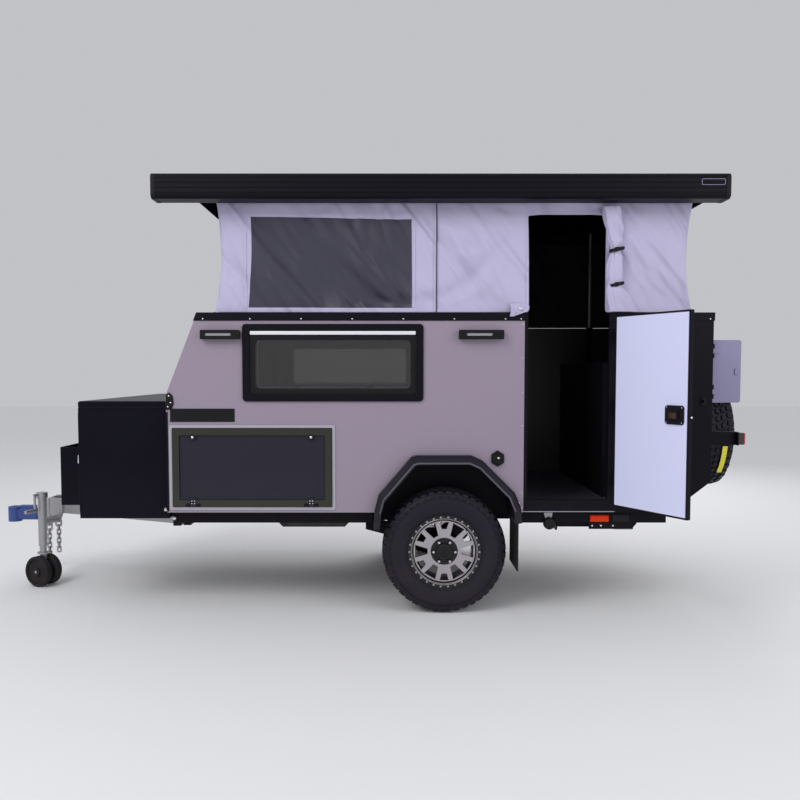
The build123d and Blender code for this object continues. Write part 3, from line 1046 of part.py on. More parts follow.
def jockey():
    """Swing-up leg with its crank, the swivelling fork and the twin wheels."""
    wheel_z = JOCKEY_WHEEL_RADIUS
    centre = (0, -JOCKEY_OFFSET)
    leg = rod((*centre, JOCKEY_TUBE_BOTTOM), (*centre, JOCKEY_TUBE_TOP), JOCKEY_TUBE_RADIUS)
    leg += rod((*centre, JOCKEY_CROWN_Z + JOCKEY_CROWN_HEIGHT + SEAT_GAP),
               (*centre, JOCKEY_TUBE_BOTTOM), JOCKEY_INNER_RADIUS)
    leg += rod((*centre, JOCKEY_TUBE_TOP), (*centre, JOCKEY_TUBE_TOP + JOCKEY_CAP_HEIGHT),
               JOCKEY_TUBE_RADIUS + CRANK_RADIUS)
    crank_z = JOCKEY_TUBE_TOP + JOCKEY_CAP_HEIGHT * 0.7
    arm_y = -JOCKEY_OFFSET - CRANK_REACH
    grip_z = crank_z - CRANK_DROP
    leg += rod((0, -JOCKEY_OFFSET, crank_z), (0, arm_y - CRANK_RADIUS, crank_z), CRANK_RADIUS)
    leg += rod((0, arm_y, crank_z), (0, arm_y, grip_z), CRANK_RADIUS)
    leg += rod((0, arm_y + CRANK_RADIUS, grip_z), (0, arm_y - CRANK_GRIP, grip_z), CRANK_GRIP_RADIUS)
    leg += rod((0, -PIVOT_FACE - SEAT_GAP, JOCKEY_PIVOT_Z), (0, -JOCKEY_OFFSET, JOCKEY_PIVOT_Z),
               PIVOT_BOSS_RADIUS)
    leg -= rod((0, -PIVOT_FACE + 1, JOCKEY_PIVOT_Z),
               (0, PIVOT_PIN_END - JOCKEY_OFFSET - 1, JOCKEY_PIVOT_Z), PIVOT_PIN_RADIUS + RUNNING_FIT)
    stem_top = JOCKEY_CROWN_Z + JOCKEY_STEM_LENGTH
    leg -= rod((*centre, JOCKEY_CROWN_Z), (*centre, stem_top + 1), JOCKEY_STEM_RADIUS + RUNNING_FIT)
    add("jockey_leg", JOCKEY_FRAME * leg)

    crown_top = JOCKEY_CROWN_Z + JOCKEY_CROWN_HEIGHT
    half = JOCKEY_FORK_THICKNESS / 2
    fork = rod((*centre, crown_top - 1), (*centre, stem_top), JOCKEY_STEM_RADIUS)
    fork += rod((*centre, JOCKEY_CROWN_Z), (*centre, crown_top), JOCKEY_CROWN_RADIUS)
    foot, top = JOCKEY_FORK_FOOT_HALF, JOCKEY_FORK_HEAD_HALF
    fork += side_plate([(-foot, wheel_z), (foot, wheel_z), (top, JOCKEY_CROWN_Z + 1),
                        (-top, JOCKEY_CROWN_Z + 1)], (centre[1] - half, centre[1] + half))
    fork += rod((0, centre[1] - half, wheel_z), (0, centre[1] + half, wheel_z),
                JOCKEY_FORK_BOSS_RADIUS)
    reach = half + JOCKEY_SIDE_PLAY + JOCKEY_WHEEL_WIDTH
    fork += rod((0, centre[1] - reach, wheel_z), (0, centre[1] + reach, wheel_z),
                JOCKEY_AXLE_RADIUS)
    add("jockey_fork", JOCKEY_FRAME * fork)
    wheel = jockey_wheel()
    for edge in (-1, 1):
        inner = centre[1] + edge * (half + JOCKEY_SIDE_PLAY)
        add("jockey_wheels", JOCKEY_FRAME * Pos(0, inner, wheel_z) * Rot(-90 * edge, 0, 0) * wheel)


# Front boxes

def cross_break(x, y, z, outward):
    """Low pyramid that stiffens a flat sheet between two corners of X, Y and Z."""
    low = [min(pair) for pair in (x, y, z)]
    high = [max(pair) for pair in (x, y, z)]
    flat = [axis for axis in range(3) if high[axis] - low[axis] < 1][0]
    across = [axis for axis in range(3) if axis != flat]
    corners = []
    for first, second in ((0, 0), (1, 0), (1, 1), (0, 1)):
        point = list(low)
        point[across[0]] = (low, high)[first][across[0]]
        point[across[1]] = (low, high)[second][across[1]]
        corners.append(point)
    apex = [(a + b) / 2 for a, b in zip(low, high)]
    apex[flat] += outward * CROSS_BREAK
    base = [list(corner) for corner in corners]
    faces = [Face(Wire.make_polygon([Vector(*corner) for corner in base], close=True))]
    for index in range(4):
        triangle = [base[index], base[(index + 1) % 4], apex]
        faces.append(Face(Wire.make_polygon([Vector(*corner) for corner in triangle], close=True)))
    return Solid(Shell(faces))


def front_face(z):
    """X of the front wall's outside at a height, vertical below the rake and leaning above it."""
    return BODY_FRONT + max(0.0, z - RAKE_START_Z) * RAKE_LENGTH / RAKE_HEIGHT


def front_box():
    """Open storage box across the drawbar, its hinged lid, and the smaller holder ahead of it."""
    half, sheet = FRONT_BOX_HALF_WIDTH, BOX_SHEET
    box = block((FRONT_BOX_FRONT, BODY_FRONT), (-half, half), (DRAWBAR_TOP, FRONT_BOX_LID_Z))
    box -= block((FRONT_BOX_FRONT + sheet, BODY_FRONT - sheet), (-half + sheet, half - sheet),
                 (DRAWBAR_TOP + sheet, FRONT_BOX_TOP))
    margin = CROSS_BREAK_MARGIN
    break_x = (FRONT_BOX_FRONT + margin, BODY_FRONT - margin)
    break_z = (DRAWBAR_TOP + margin, FRONT_BOX_LID_Z - margin)
    box += cross_break(break_x, (-half, -half), break_z, -1)
    box += cross_break(break_x, (half, half), break_z, 1)
    box += cross_break((FRONT_BOX_FRONT, FRONT_BOX_FRONT), (margin - half, half - margin),
                       (HOLDER_TOP + margin, break_z[1]), -1)
    add("front_box", box)
    lid_rear = BODY_FRONT - LID_REAR_GAP
    lid_bottom = FRONT_BOX_LID_Z + PANEL_GAP
    lid = block((FRONT_BOX_FRONT, lid_rear), (-half, half), (lid_bottom, FRONT_BOX_TOP))
    lid = chamfer(lid.edges().group_by(Axis.Z)[-1], LID_CORNER)
    lid -= block((FRONT_BOX_FRONT + sheet, lid_rear - sheet), (-half + sheet, half - sheet),
                 (lid_bottom - 1, FRONT_BOX_TOP - LID_CORNER))
    for y in LID_HINGE_Y:
        fixed, moving, bore = hinge((LID_HINGE_X, y, LID_HINGE_Z), (0, 1, 0))
        outer, middle = hinge_spans(y)
        low, high = LID_HINGE_Z - 2 * HINGE_LEAF, LID_HINGE_Z + 5 * HINGE_LEAF
        plates = side_plate([(BODY_FRONT - HINGE_WALL, low), (front_face(low), low),
                             (front_face(high), high), (BODY_FRONT - HINGE_WALL, high)],
                            (outer[0][0], outer[1][1]))
        for span in outer:
            plates += block((LID_HINGE_X, BODY_FRONT), span,
                            (LID_HINGE_Z - HINGE_LEAF, LID_HINGE_Z + HINGE_LEAF))
        add("wall_front", plates + fixed)
        lid += block((LID_HINGE_X - LID_STRAP_LENGTH, LID_HINGE_X), middle,
                     (FRONT_BOX_TOP - 1, LID_HINGE_Z)) + moving - bore
        catch = block((FRONT_BOX_FRONT - LID_CATCH_PROUD, FRONT_BOX_FRONT),
                      (y - LID_CATCH_HALF, y + LID_CATCH_HALF),
                      (lid_bottom, FRONT_BOX_TOP - LID_CORNER))
        lid += chamfer(catch.edges().filter_by(Axis.X), LID_CATCH_CORNER)
    add("front_box_lid", lid)
    wide = HOLDER_HALF_WIDTH
    holder = block((HOLDER_FRONT, FRONT_BOX_FRONT), (-wide, wide), (HOLDER_BOTTOM, HOLDER_TOP))
    holder -= block((HOLDER_FRONT + sheet, FRONT_BOX_FRONT - sheet), (-wide + sheet, wide - sheet),
                    (HOLDER_BOTTOM + sheet, HOLDER_TOP + 1))
    add("holder_box", holder)


# Roof and canvas

def roof():
    """Lifting roof shell, awning case, lift posts and the canvas between roof and body."""
    edge = ROOF_EDGE_TOP
    outline = Polyline((-ROOF_HALF_WIDTH, edge), (-ROOF_HALF_WIDTH, ROOF_BOTTOM),
                       (ROOF_HALF_WIDTH, ROOF_BOTTOM), (ROOF_HALF_WIDTH, edge))
    crown = ThreePointArc((ROOF_HALF_WIDTH, edge), (0, edge + ROOF_CROWN), (-ROOF_HALF_WIDTH, edge))
    plane = Plane(origin=(ROOF_FRONT, 0, 0), x_dir=(0, 1, 0), z_dir=(1, 0, 0))
    shell = extrude(plane * make_face(outline + crown), amount=ROOF_REAR - ROOF_FRONT)
    ends = shell.edges().filter_by(Axis.Y)
    shell = chamfer([ends.sort_by(Axis.X)[0]] + [ends.sort_by(Axis.X)[-1]], ROOF_END_CHAMFER)
    shell -= block((ROOF_FRONT + ROOF_WALL, ROOF_REAR - ROOF_WALL),
                   (-ROOF_HALF_WIDTH + ROOF_WALL, ROOF_HALF_WIDTH - ROOF_WALL),
                   (ROOF_BOTTOM - 1, edge - ROOF_WALL))
    add("roof_shell", shell)

    case = block((AWNING_FRONT + AWNING_CAP, AWNING_REAR - AWNING_CAP),
                 (-AWNING_OUT, -ROOF_HALF_WIDTH), (AWNING_BOTTOM, AWNING_TOP))
    case = fillet(case.edges().filter_by(Axis.X).group_by(Axis.Y)[0], AWNING_CORNER)
    pitch = (AWNING_TOP - AWNING_BOTTOM) / (AWNING_RIB_COUNT + 1)
    for index in range(AWNING_RIB_COUNT):
        z = AWNING_BOTTOM + pitch * (index + 1)
        case -= block((AWNING_FRONT, AWNING_REAR), (-AWNING_OUT - 1, -AWNING_OUT + AWNING_RIB_DEPTH),
                      (z - AWNING_RIB_HEIGHT / 2, z + AWNING_RIB_HEIGHT / 2))
    add("awning_case", case)
    for x in ((AWNING_FRONT, AWNING_FRONT + AWNING_CAP), (AWNING_REAR - AWNING_CAP, AWNING_REAR)):
        cap = block(x, (-AWNING_OUT, -ROOF_HALF_WIDTH), (AWNING_BOTTOM - AWNING_CAP_DROP, AWNING_TOP))
        cap = fillet(cap.edges().filter_by(Axis.X).group_by(Axis.Y)[0], AWNING_CORNER)
        add("awning_caps", cap)

    for x in POST_X:
        for side in (-1, 1):
            y = sorted((side * (INNER_HALF_WIDTH - POST_SIZE), side * INNER_HALF_WIDTH))
            middle = side * (INNER_HALF_WIDTH - POST_SIZE / 2)
            post = block((x - POST_SIZE / 2, x + POST_SIZE / 2), y, (POST_BOTTOM, BODY_TOP))
            post -= rod((x, middle, POST_BOTTOM + 5), (x, middle, BODY_TOP + 1),
                        ROD_RADIUS + ROD_BORE_CLEARANCE)
            add("lift_posts", post)
            add("lift_rods", rod((x, middle, ROD_BOTTOM), (x, middle, edge - ROOF_WALL),
                                 ROD_RADIUS))

    top = ROOF_BOTTOM + CANVAS_TUCK
    y = (-CANVAS_HALF_WIDTH + SEAT_GAP, CANVAS_HALF_WIDTH - SEAT_GAP)
    outline = [(CANVAS_BOTTOM_FRONT, BODY_TOP + SEAT_GAP), (CANVAS_BOTTOM_REAR, BODY_TOP + SEAT_GAP),
               (CANVAS_TOP_REAR, top), (CANVAS_TOP_FRONT, top)]
    inset = [(CANVAS_BOTTOM_FRONT + CANVAS_THICKNESS, BODY_TOP - 1),
             (CANVAS_BOTTOM_REAR - CANVAS_THICKNESS, BODY_TOP - 1),
             (CANVAS_TOP_REAR - CANVAS_THICKNESS, top + 1),
             (CANVAS_TOP_FRONT + CANVAS_THICKNESS, top + 1)]
    canvas = side_plate(outline, y)
    canvas -= side_plate(inset, (y[0] + CANVAS_THICKNESS, y[1] - CANVAS_THICKNESS))
    canvas -= block((CANVAS_DOOR_FRONT, CANVAS_DOOR_REAR), (y[0] - 1, y[0] + CANVAS_THICKNESS + 1),
                    (BODY_TOP - 1, CANVAS_DOOR_TOP))
    add("canvas", canvas)


# Lamps and small fittings

def lamps():
    """Area lamps on the walls, side markers and tail lamps."""
    outer = -(BODY_HALF_WIDTH + SCENE_LAMP_PROUD)
    border = SCENE_LENS_BORDER
    for x in SCENE_LAMP_X:
        housing = block(x, (outer, -BODY_HALF_WIDTH), (SCENE_LAMP_BOTTOM, SCENE_LAMP_TOP))
        housing = chamfer(housing.edges().filter_by(Axis.X).group_by(Axis.Y)[0], SCENE_LAMP_CORNER)
        lens = block((x[0] + border, x[1] - border), (outer - SCENE_LENS_PROUD, outer),
                     (SCENE_LAMP_BOTTOM + border, SCENE_LAMP_TOP - border))
        add("scene_lamps", *both_sides(housing))
        add("scene_lamp_lenses", *both_sides(lens))
    rail_y = -(SIDE_RAIL_Y + RAIL_WIDTH / 2)
    middle = BODY_BOTTOM - RAIL_HEIGHT / 2
    marker = block(MARKER_X, (rail_y - MARKER_PROUD, rail_y),
                   (middle - MARKER_HALF_HEIGHT, middle + MARKER_HALF_HEIGHT))
    marker = chamfer(marker.edges().group_by(Axis.Y)[0], MARKER_CORNER)
    reflector = block(REFLECTOR_X, (rail_y - REFLECTOR_PROUD, rail_y),
                      (middle - MARKER_HALF_HEIGHT, middle + MARKER_HALF_HEIGHT))
    add("marker_lamps", *both_sides(marker), *both_sides(reflector))


def body_fittings():
    """Filler cap, blank plate over the hatch and the door's hold-back catch."""
    y = -BODY_HALF_WIDTH
    filler_z = BODY_BOTTOM + FILLER_ABOVE_BOTTOM
    cap = side_plate([(FILLER_X + FILLER_HALF_WIDTH * dx, filler_z + FILLER_HALF_HEIGHT * dz)
                      for dx, dz in ((-1, -0.5), (0, -1), (1, -0.5), (1, 0.5), (0, 1), (-1, 0.5))],
                     (y - FILLER_PROUD, y))
    badge = block(BADGE_X, (y - BADGE_PROUD, y), (BADGE_BOTTOM, BADGE_BOTTOM + BADGE_HEIGHT))
    catch_x, catch_z = BODY_REAR - CATCH_FROM_REAR, BODY_BOTTOM + CATCH_ABOVE_BOTTOM
    wide, tall = CATCH_PLATE_HALF
    hook = CATCH_HOOK_HALF
    catch = block((catch_x - wide, catch_x + wide), (y - CATCH_PLATE, y),
                  (catch_z - tall, catch_z + tall))
    catch += block((catch_x - hook, catch_x + hook), (y - CATCH_REACH, y - CATCH_PLATE),
                   (catch_z - hook, catch_z + hook))
    add("body_fittings", cap, badge, catch)


# Wheels

def tyre_shape():
    """Tyre with a block at each flat on both shoulders. Flats keep it light to draw."""
    reach, flats = TYRE_RADIUS, WHEEL_FLATS
    sidewall = reach - SIDEWALL_DROP
    half = [(reach, TREAD_HALF_WIDTH), (reach - SHOULDER_DROP, SHOULDER_HALF_WIDTH),
            (sidewall, TYRE_HALF_WIDTH)]
    tyre = faceted_disc([(r, -z) for r, z in reversed(half)] + half, flats)
    bead = RIM_FLANGE_RADIUS + PANEL_GAP
    hollow = faceted_disc([(bead, BEAD_HALF_WIDTH), (sidewall, TYRE_HALF_WIDTH)], flats)
    for side in (Rot(0, 0, 0), Rot(180, 0, 0)):
        tyre -= side * hollow
    tyre -= faceted_disc([(BEAD_RADIUS + SEAT_GAP, -TYRE_HALF_WIDTH),
                          (BEAD_RADIUS + SEAT_GAP, TYRE_HALF_WIDTH)], flats)
    lug = side_plate([(reach - depth, out) for depth, out in LUG_PROFILE],
                     (-LUG_WIDTH / 2, LUG_WIDTH / 2))
    lugs = []
    for index in range(flats):
        turn = Rot(0, 0, index * 360 / flats)
        lugs += [turn * lug, turn * Rot(180, 0, 0) * lug]
    return tyre.fuse(*lugs)


def rim_shape():
    """Clamp-ring rim with its drop-centre barrel, windowed disc, hub and nuts."""
    flats, inner = WHEEL_FLATS, BEAD_RADIUS - RIM_WALL
    well = BEAD_RADIUS - RIM_WELL_DEPTH
    steps = (RIM_WELL_BACK - RIM_WELL_SLOPE, RIM_WELL_BACK, RIM_WELL_FRONT,
             RIM_WELL_FRONT + RIM_WELL_SLOPE)
    flange_z = BEAD_HALF_WIDTH + SEAT_GAP
    ring_top = RIM_HALF_WIDTH + CLAMP_RING_THICKNESS
    rim = faceted_disc([(BEAD_RADIUS, -RIM_HALF_WIDTH), (BEAD_RADIUS, steps[0]), (well, steps[1]),
                        (well, steps[2]), (BEAD_RADIUS, steps[3]), (BEAD_RADIUS, ring_top)], flats)
    rim += faceted_disc([(RIM_FLANGE_RADIUS, -RIM_HALF_WIDTH - RIM_WALL),
                         (RIM_FLANGE_RADIUS, -flange_z)], flats)
    rim += faceted_disc([(RIM_FLANGE_RADIUS, flange_z), (RIM_FLANGE_RADIUS, ring_top)], flats)
    rim -= faceted_disc([(inner, -RIM_HALF_WIDTH - RIM_WALL - 1), (inner, steps[0]),
                         (well - RIM_WALL, steps[1]), (well - RIM_WALL, steps[2]),
                         (inner, steps[3]), (inner, RIM_HALF_WIDTH)], flats)
    ring_hole = RIM_FLANGE_RADIUS - CLAMP_RING_WIDTH
    rim -= faceted_disc([(ring_hole, RIM_HALF_WIDTH), (ring_hole, ring_top + 1)], flats)
    disc_top = DISC_Z + DISC_THICKNESS
    disc = faceted_disc([(inner + 2, DISC_Z), (inner + 2, disc_top)], flats)
    for index in range(RIM_WINDOW_COUNT):
        for start, (reach, width) in ((0, LONG_WINDOW), (0.5, SHORT_WINDOW)):
            middle = (start + index) * 360 / RIM_WINDOW_COUNT
            narrow = width * WINDOW_TAPER
            corners = [(reach, middle - narrow / 2), (RIM_WINDOW_OUTER, middle - width / 2),
                       (RIM_WINDOW_OUTER, middle + width / 2), (reach, middle + narrow / 2)]
            window = make_face(Polyline(*[(r * cos(radians(a)), r * sin(radians(a)))
                                          for r, a in corners], close=True))
            disc -= extrude(Pos(0, 0, DISC_Z - 1) * window, amount=DISC_THICKNESS + 2)
    pad_top = disc_top + HUB_PAD_PROUD
    cap = tall_cylinder(CAP_RADIUS, (pad_top, pad_top + CAP_HEIGHT))
    rim += disc + tall_cylinder(HUB_PAD_RADIUS, (pad_top - HUB_DEPTH, pad_top)) + chamfer(
        cap.edges().group_by(Axis.Z)[-1], CAP_HEIGHT / 4)
    rim -= tall_cylinder(STUB_AXLE_RADIUS + RUNNING_FIT, (pad_top - HUB_DEPTH - 1, disc_top))
    nut = extrude(Pos(NUT_CIRCLE_RADIUS, 0, pad_top) * RegularPolygon(NUT_RADIUS, 6),
                  amount=NUT_HEIGHT)
    for index in range(NUT_COUNT):
        rim += Rot(0, 0, index * 360 / NUT_COUNT) * nut
    return rim


def wheels():
    """The two road wheels and the spare."""
    tyre, rim = tyre_shape(), rim_shape()
    near = Pos(AXLE_X, -WHEEL_Y, AXLE_Z) * Rot(90, 0, 0)
    far = Pos(AXLE_X, WHEEL_Y, AXLE_Z) * Rot(-90, 0, 0)
    spare = Pos(SPARE_X, 0, SPARE_Z) * Rot(0, 90, 0)
    for name, place in (("near", near), ("far", far), ("spare", spare)):
        add("tyre_" + name, place * tyre)
        add("rim_" + name, place * rim)


def spare_carrier():
    """Plate on the rear wall, four arms, and the hub plate that the spare wheel sits on."""
    half = CARRIER_ARM_SIZE / 2
    plate_x = BODY_REAR + CARRIER_PLATE
    hub_x = SPARE_X + DISC_Z + DISC_THICKNESS + HUB_PAD_PROUD - HUB_DEPTH
    plate = block((BODY_REAR, plate_x), (-CARRIER_HALF_WIDTH, CARRIER_HALF_WIDTH),
                  (SPARE_Z - CARRIER_HALF_HEIGHT, SPARE_Z + CARRIER_HALF_HEIGHT))
    plate = chamfer(plate.edges().filter_by(Axis.X), half)
    for side in (-1, 1):
        for rise in (-1, 1):
            y, z = side * CARRIER_ARM_Y, SPARE_Z + rise * CARRIER_ARM_Z
            add("carrier_arms", block((plate_x, hub_x - CARRIER_PLATE), (y - half, y + half),
                                      (z - half, z + half)))
    reach_y, reach_z = CARRIER_ARM_Y + half, CARRIER_ARM_Z + half
    hub = block((hub_x - CARRIER_PLATE, hub_x), (-reach_y, reach_y),
                (SPARE_Z - reach_z, SPARE_Z + reach_z))
    hub += rod((hub_x, 0, SPARE_Z),
               (hub_x + HUB_DEPTH - HUB_PAD_PROUD - STUB_AXLE_SHORT, 0, SPARE_Z), STUB_AXLE_RADIUS)
    add("rear_carrier", plate, hub)


def rear_fittings():
    """Spare wheel carrier, lamp arms and tail lamps."""
    spare_carrier()
    half = CARRIER_ARM_SIZE / 2
    arm_z = (LAMP_ARM_BOTTOM, LAMP_ARM_TOP)
    lamp_y = (-LAMP_ARM_Y - LAMP_HALF_WIDTH, -LAMP_ARM_Y + LAMP_HALF_WIDTH)
    arm = block((BODY_REAR, LAMP_ARM_X), (-LAMP_ARM_Y - half, -LAMP_ARM_Y + half), arm_z)
    arm += block((LAMP_ARM_X - LOCKER_SHEET, LAMP_ARM_X), lamp_y, arm_z)
    add("rear_carrier", *both_sides(arm))
    lamp = block((LAMP_ARM_X, LAMP_ARM_X + LAMP_DEPTH), lamp_y,
                 (LAMP_ARM_BOTTOM + LAMP_MARGIN, LAMP_ARM_TOP - LAMP_MARGIN))
    lamp = chamfer(lamp.edges().group_by(Axis.X)[-1], LAMP_CORNER)
    add("tail_lamps", *both_sides(lamp))


def rear_locker():
    """Small corner locker, open to the side, with its hinged door."""
    sheet = LOCKER_SHEET
    locker = block((BODY_REAR, LOCKER_REAR), (LOCKER_SIDE, LOCKER_SIDE + LOCKER_WIDTH),
                   (LOCKER_BOTTOM, LOCKER_TOP))
    locker = chamfer(locker.edges().filter_by(Axis.Y).group_by(Axis.X)[-1], LOCKER_CORNER)
    locker -= block((BODY_REAR + sheet, LOCKER_REAR - LOCKER_CORNER),
                    (LOCKER_SIDE - 1, LOCKER_SIDE + LOCKER_WIDTH - sheet),
                    (LOCKER_BOTTOM + sheet, LOCKER_TOP - sheet))
    door_y = (LOCKER_SIDE - PANEL_GAP - LOCKER_DOOR_THICKNESS, LOCKER_SIDE - PANEL_GAP)
    hinge_y = door_y[0] - HINGE_PIN_RADIUS - HINGE_WALL
    door = block((LOCKER_HINGE_X - LOCKER_HINGE_SEAT, LOCKER_REAR), door_y,
                 (LOCKER_BOTTOM, LOCKER_TOP))
    door = chamfer(door.edges().filter_by(Axis.Y).group_by(Axis.X)[-1], LOCKER_CORNER)
    middle_z = (LOCKER_BOTTOM + LOCKER_TOP) / 2
    front, back = LOCKER_KNOB_FROM_EDGE
    door += block((LOCKER_REAR - front, LOCKER_REAR - back), (door_y[0] - LOCKER_KNOB_PROUD, door_y[0]),
                  (middle_z - LOCKER_KNOB_HALF, middle_z + LOCKER_KNOB_HALF))
    for z in (LOCKER_BOTTOM + LOCKER_HINGE_INSET, LOCKER_TOP - LOCKER_HINGE_INSET):
        fixed, moving, bore = hinge((LOCKER_HINGE_X, hinge_y, z), (0, 0, 1))
        outer, middle = hinge_spans(z)
        leaf_y = (hinge_y - HINGE_LEAF, hinge_y + HINGE_LEAF)
        bracket = block((BODY_REAR, BODY_REAR + HINGE_WALL),
                        (hinge_y - HINGE_LEAF, LOCKER_SIDE - 1), (outer[0][0], outer[1][1]))
        for span in outer:
            bracket += block((BODY_REAR, LOCKER_HINGE_X), leaf_y, span)
        add("wall_rear", bracket + fixed)
        door += block((LOCKER_HINGE_X, LOCKER_HINGE_X + LOCKER_LEAF),
                      (hinge_y + HINGE_LEAF, door_y[0]), middle) + moving - bore
    add("rear_locker", locker)
    add("rear_locker_door", door)


def interior():
    """Bed base over the tunnel, its mattress, and the rear cabinet."""
    inner_front = BODY_FRONT + WALL
    half, board = INNER_HALF_WIDTH, BED_BOARD
    base = block((inner_front, BED_REAR), (-BED_HALF_WIDTH, BED_HALF_WIDTH),
                 (BED_TOP - board, BED_TOP))
    base += block((BED_REAR - board, BED_REAR), (-half, half), (FLOOR_TOP, BED_TOP))
    add("bed_base", base)
    edge = BED_HALF_WIDTH - MATTRESS_GAP
    add("mattress", block((inner_front + MATTRESS_GAP, BED_REAR - MATTRESS_GAP), (-edge, edge),
                          (BED_TOP + SEAT_GAP, BED_TOP + MATTRESS_HEIGHT)))
    board = CABINET_BOARD
    y = (CABINET_NEAR, CABINET_FAR)
    cabinet = block((CABINET_FRONT, CABINET_FRONT + board), y, (FLOOR_TOP, CABINET_TOP))
    cabinet += block((CABINET_FRONT, CABINET_REAR), y, (CABINET_TOP - board, CABINET_TOP))
    cabinet += block((CABINET_FRONT, DEPARTURE_X - WALL), (CABINET_NEAR, CABINET_NEAR + board),
                     (FLOOR_TOP, CABINET_TOP))
    clear = POST_SIZE / 2 + CABINET_SIDE_GAP
    cabinet -= block((POST_X[1] - clear, POST_X[1] + clear),
                     (INNER_HALF_WIDTH - POST_SIZE - CABINET_SIDE_GAP, INNER_HALF_WIDTH),
                     (POST_BOTTOM - CABINET_SIDE_GAP, BODY_TOP))
    add("cabinet", cabinet)


cabin_walls()
wheel_wells()
fenders()
top_trim()
door_straps = opening_frames()
entry_door(door_straps)
side_hatch()
chassis()
rear_legs()
trailing_arms()
drawbar()
coupling()
safety_chains()
jockey()
front_box()
roof()
lamps()
body_fittings()
wheels()
rear_fittings()
rear_locker()
interior()

JOINED = {"corner_near", "opening_frames", "wall_front", "wall_rear"}

os.makedirs("parts", exist_ok=True)
for name, shapes in parts.items():
    solids = []
    for shape in shapes:
        solids.extend(shape.solids())
    if name in JOINED:
        fused = solids[0]
        for solid in solids[1:]:
            fused = fused + solid
        solids = list(fused.solids())
    node = solids[0] if len(solids) == 1 else Compound(children=solids)
    export_step(Pos(0, 0, -COUPLING_HEIGHT) * node, f"parts/{name}.step")
print(len(parts), "nodes")
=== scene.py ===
import math

import bmesh
import bpy
from mathutils import Matrix, Vector, noise


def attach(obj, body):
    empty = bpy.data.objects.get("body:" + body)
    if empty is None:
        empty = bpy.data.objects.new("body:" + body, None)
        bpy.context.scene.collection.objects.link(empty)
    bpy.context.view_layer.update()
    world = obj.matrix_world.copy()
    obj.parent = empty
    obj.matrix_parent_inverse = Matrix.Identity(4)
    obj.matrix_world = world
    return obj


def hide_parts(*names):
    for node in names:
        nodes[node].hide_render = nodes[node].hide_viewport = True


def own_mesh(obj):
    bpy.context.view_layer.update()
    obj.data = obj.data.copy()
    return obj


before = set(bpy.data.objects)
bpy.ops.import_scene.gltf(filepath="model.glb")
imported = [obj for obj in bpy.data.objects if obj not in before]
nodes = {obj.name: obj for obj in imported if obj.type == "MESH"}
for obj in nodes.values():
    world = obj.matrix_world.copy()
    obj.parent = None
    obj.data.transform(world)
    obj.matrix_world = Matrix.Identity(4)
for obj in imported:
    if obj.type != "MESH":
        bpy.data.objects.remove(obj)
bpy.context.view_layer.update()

# Sizes here are in millimetres: X from the coupling, Y from the middle, Z above the ground.
# The frame is in metres with Z = 0 at the coupling, 480 mm above the ground.
COUPLING_HEIGHT = 480
ORIGIN = (0, 0, COUPLING_HEIGHT)


def at(x, y, z):
    """Place in the frame from millimetres."""
    return Vector((x / 1000, y / 1000, (z - COUPLING_HEIGHT) / 1000))


def in_millimetres(place):
    """X, Y and Z of a place in the frame."""
    return place.x * 1000, place.y * 1000, place.z * 1000 + COUPLING_HEIGHT


# Modelling helpers

def add_object(name, data):
    piece = bpy.data.objects.new(name, data)
    bpy.context.scene.collection.objects.link(piece)
    return piece


def plain_mesh(name, places, edges=(), faces=()):
    """Object whose mesh keeps its edges and faces just as they are given."""
    mesh = bpy.data.meshes.new(name)
    mesh.from_pydata(places, edges, faces)
    return add_object(name, mesh)


def select_only(piece):
    bpy.ops.object.select_all(action="DESELECT")
    piece.select_set(True)
    bpy.context.view_layer.objects.active = piece


def apply_place(piece):
    select_only(piece)
    bpy.ops.object.transform_apply(location=True, rotation=True, scale=True)
    return piece


def apply_modifier(piece, modifier):
    select_only(piece)
    bpy.ops.object.modifier_apply(modifier=modifier.name)
    return piece


def bevel(piece, width, segments=2, angle=35):
    """Rounds the edges sharper than the angle."""
    modifier = piece.modifiers.new("edges", "BEVEL")
    modifier.width = width / 1000
    modifier.segments = segments
    modifier.limit_method = "ANGLE"
    modifier.angle_limit = math.radians(angle)
    return apply_modifier(piece, modifier)


def box(x, y, z, edge=0, segments=2):
    """Box between low and high values, with rounded edges."""
    bpy.ops.object.select_all(action="DESELECT")
    low, high = (at(*corner) for corner in zip(x, y, z))
    bpy.ops.mesh.primitive_cube_add(size=1, location=(low + high) / 2, scale=high - low)
    piece = apply_place(bpy.context.object)
    return bevel(piece, edge, segments) if edge else piece


def bar(start, end, radius, sides=24, edge=0):
    """Round bar between two places in millimetres."""
    start, end = at(*start), at(*end)
    way = end - start
    bpy.ops.object.select_all(action="DESELECT")
    bpy.ops.mesh.primitive_cylinder_add(vertices=sides, radius=radius / 1000, depth=way.length,
                                        location=(start + end) / 2,
                                        rotation=way.to_track_quat("Z", "Y").to_euler())
    piece = apply_place(bpy.context.object)
    return bevel(piece, edge) if edge else piece


def open_mesh(piece):
    """Opens a piece in edit mode with all of it selected."""
    select_only(piece)
    bpy.ops.object.mode_set(mode="EDIT")
    bpy.ops.mesh.select_all(action="SELECT")


def close_mesh():
    """Turns all faces outward and leaves edit mode."""
    bpy.ops.mesh.select_all(action="SELECT")
    bpy.ops.mesh.normals_make_consistent(inside=False)
    bpy.ops.object.mode_set(mode="OBJECT")


def plate(points, y, edge=0):
    """Plate with an outline of X, Z places, between two Y values."""
    piece = plain_mesh("plate", [at(px, y[0], pz) for px, pz in points],
                       faces=[range(len(points))])
    open_mesh(piece)
    bpy.ops.mesh.extrude_region_move(
        TRANSFORM_OT_translate={"value": (0, (y[1] - y[0]) / 1000, 0)})
    close_mesh()
    return bevel(piece, edge) if edge else piece


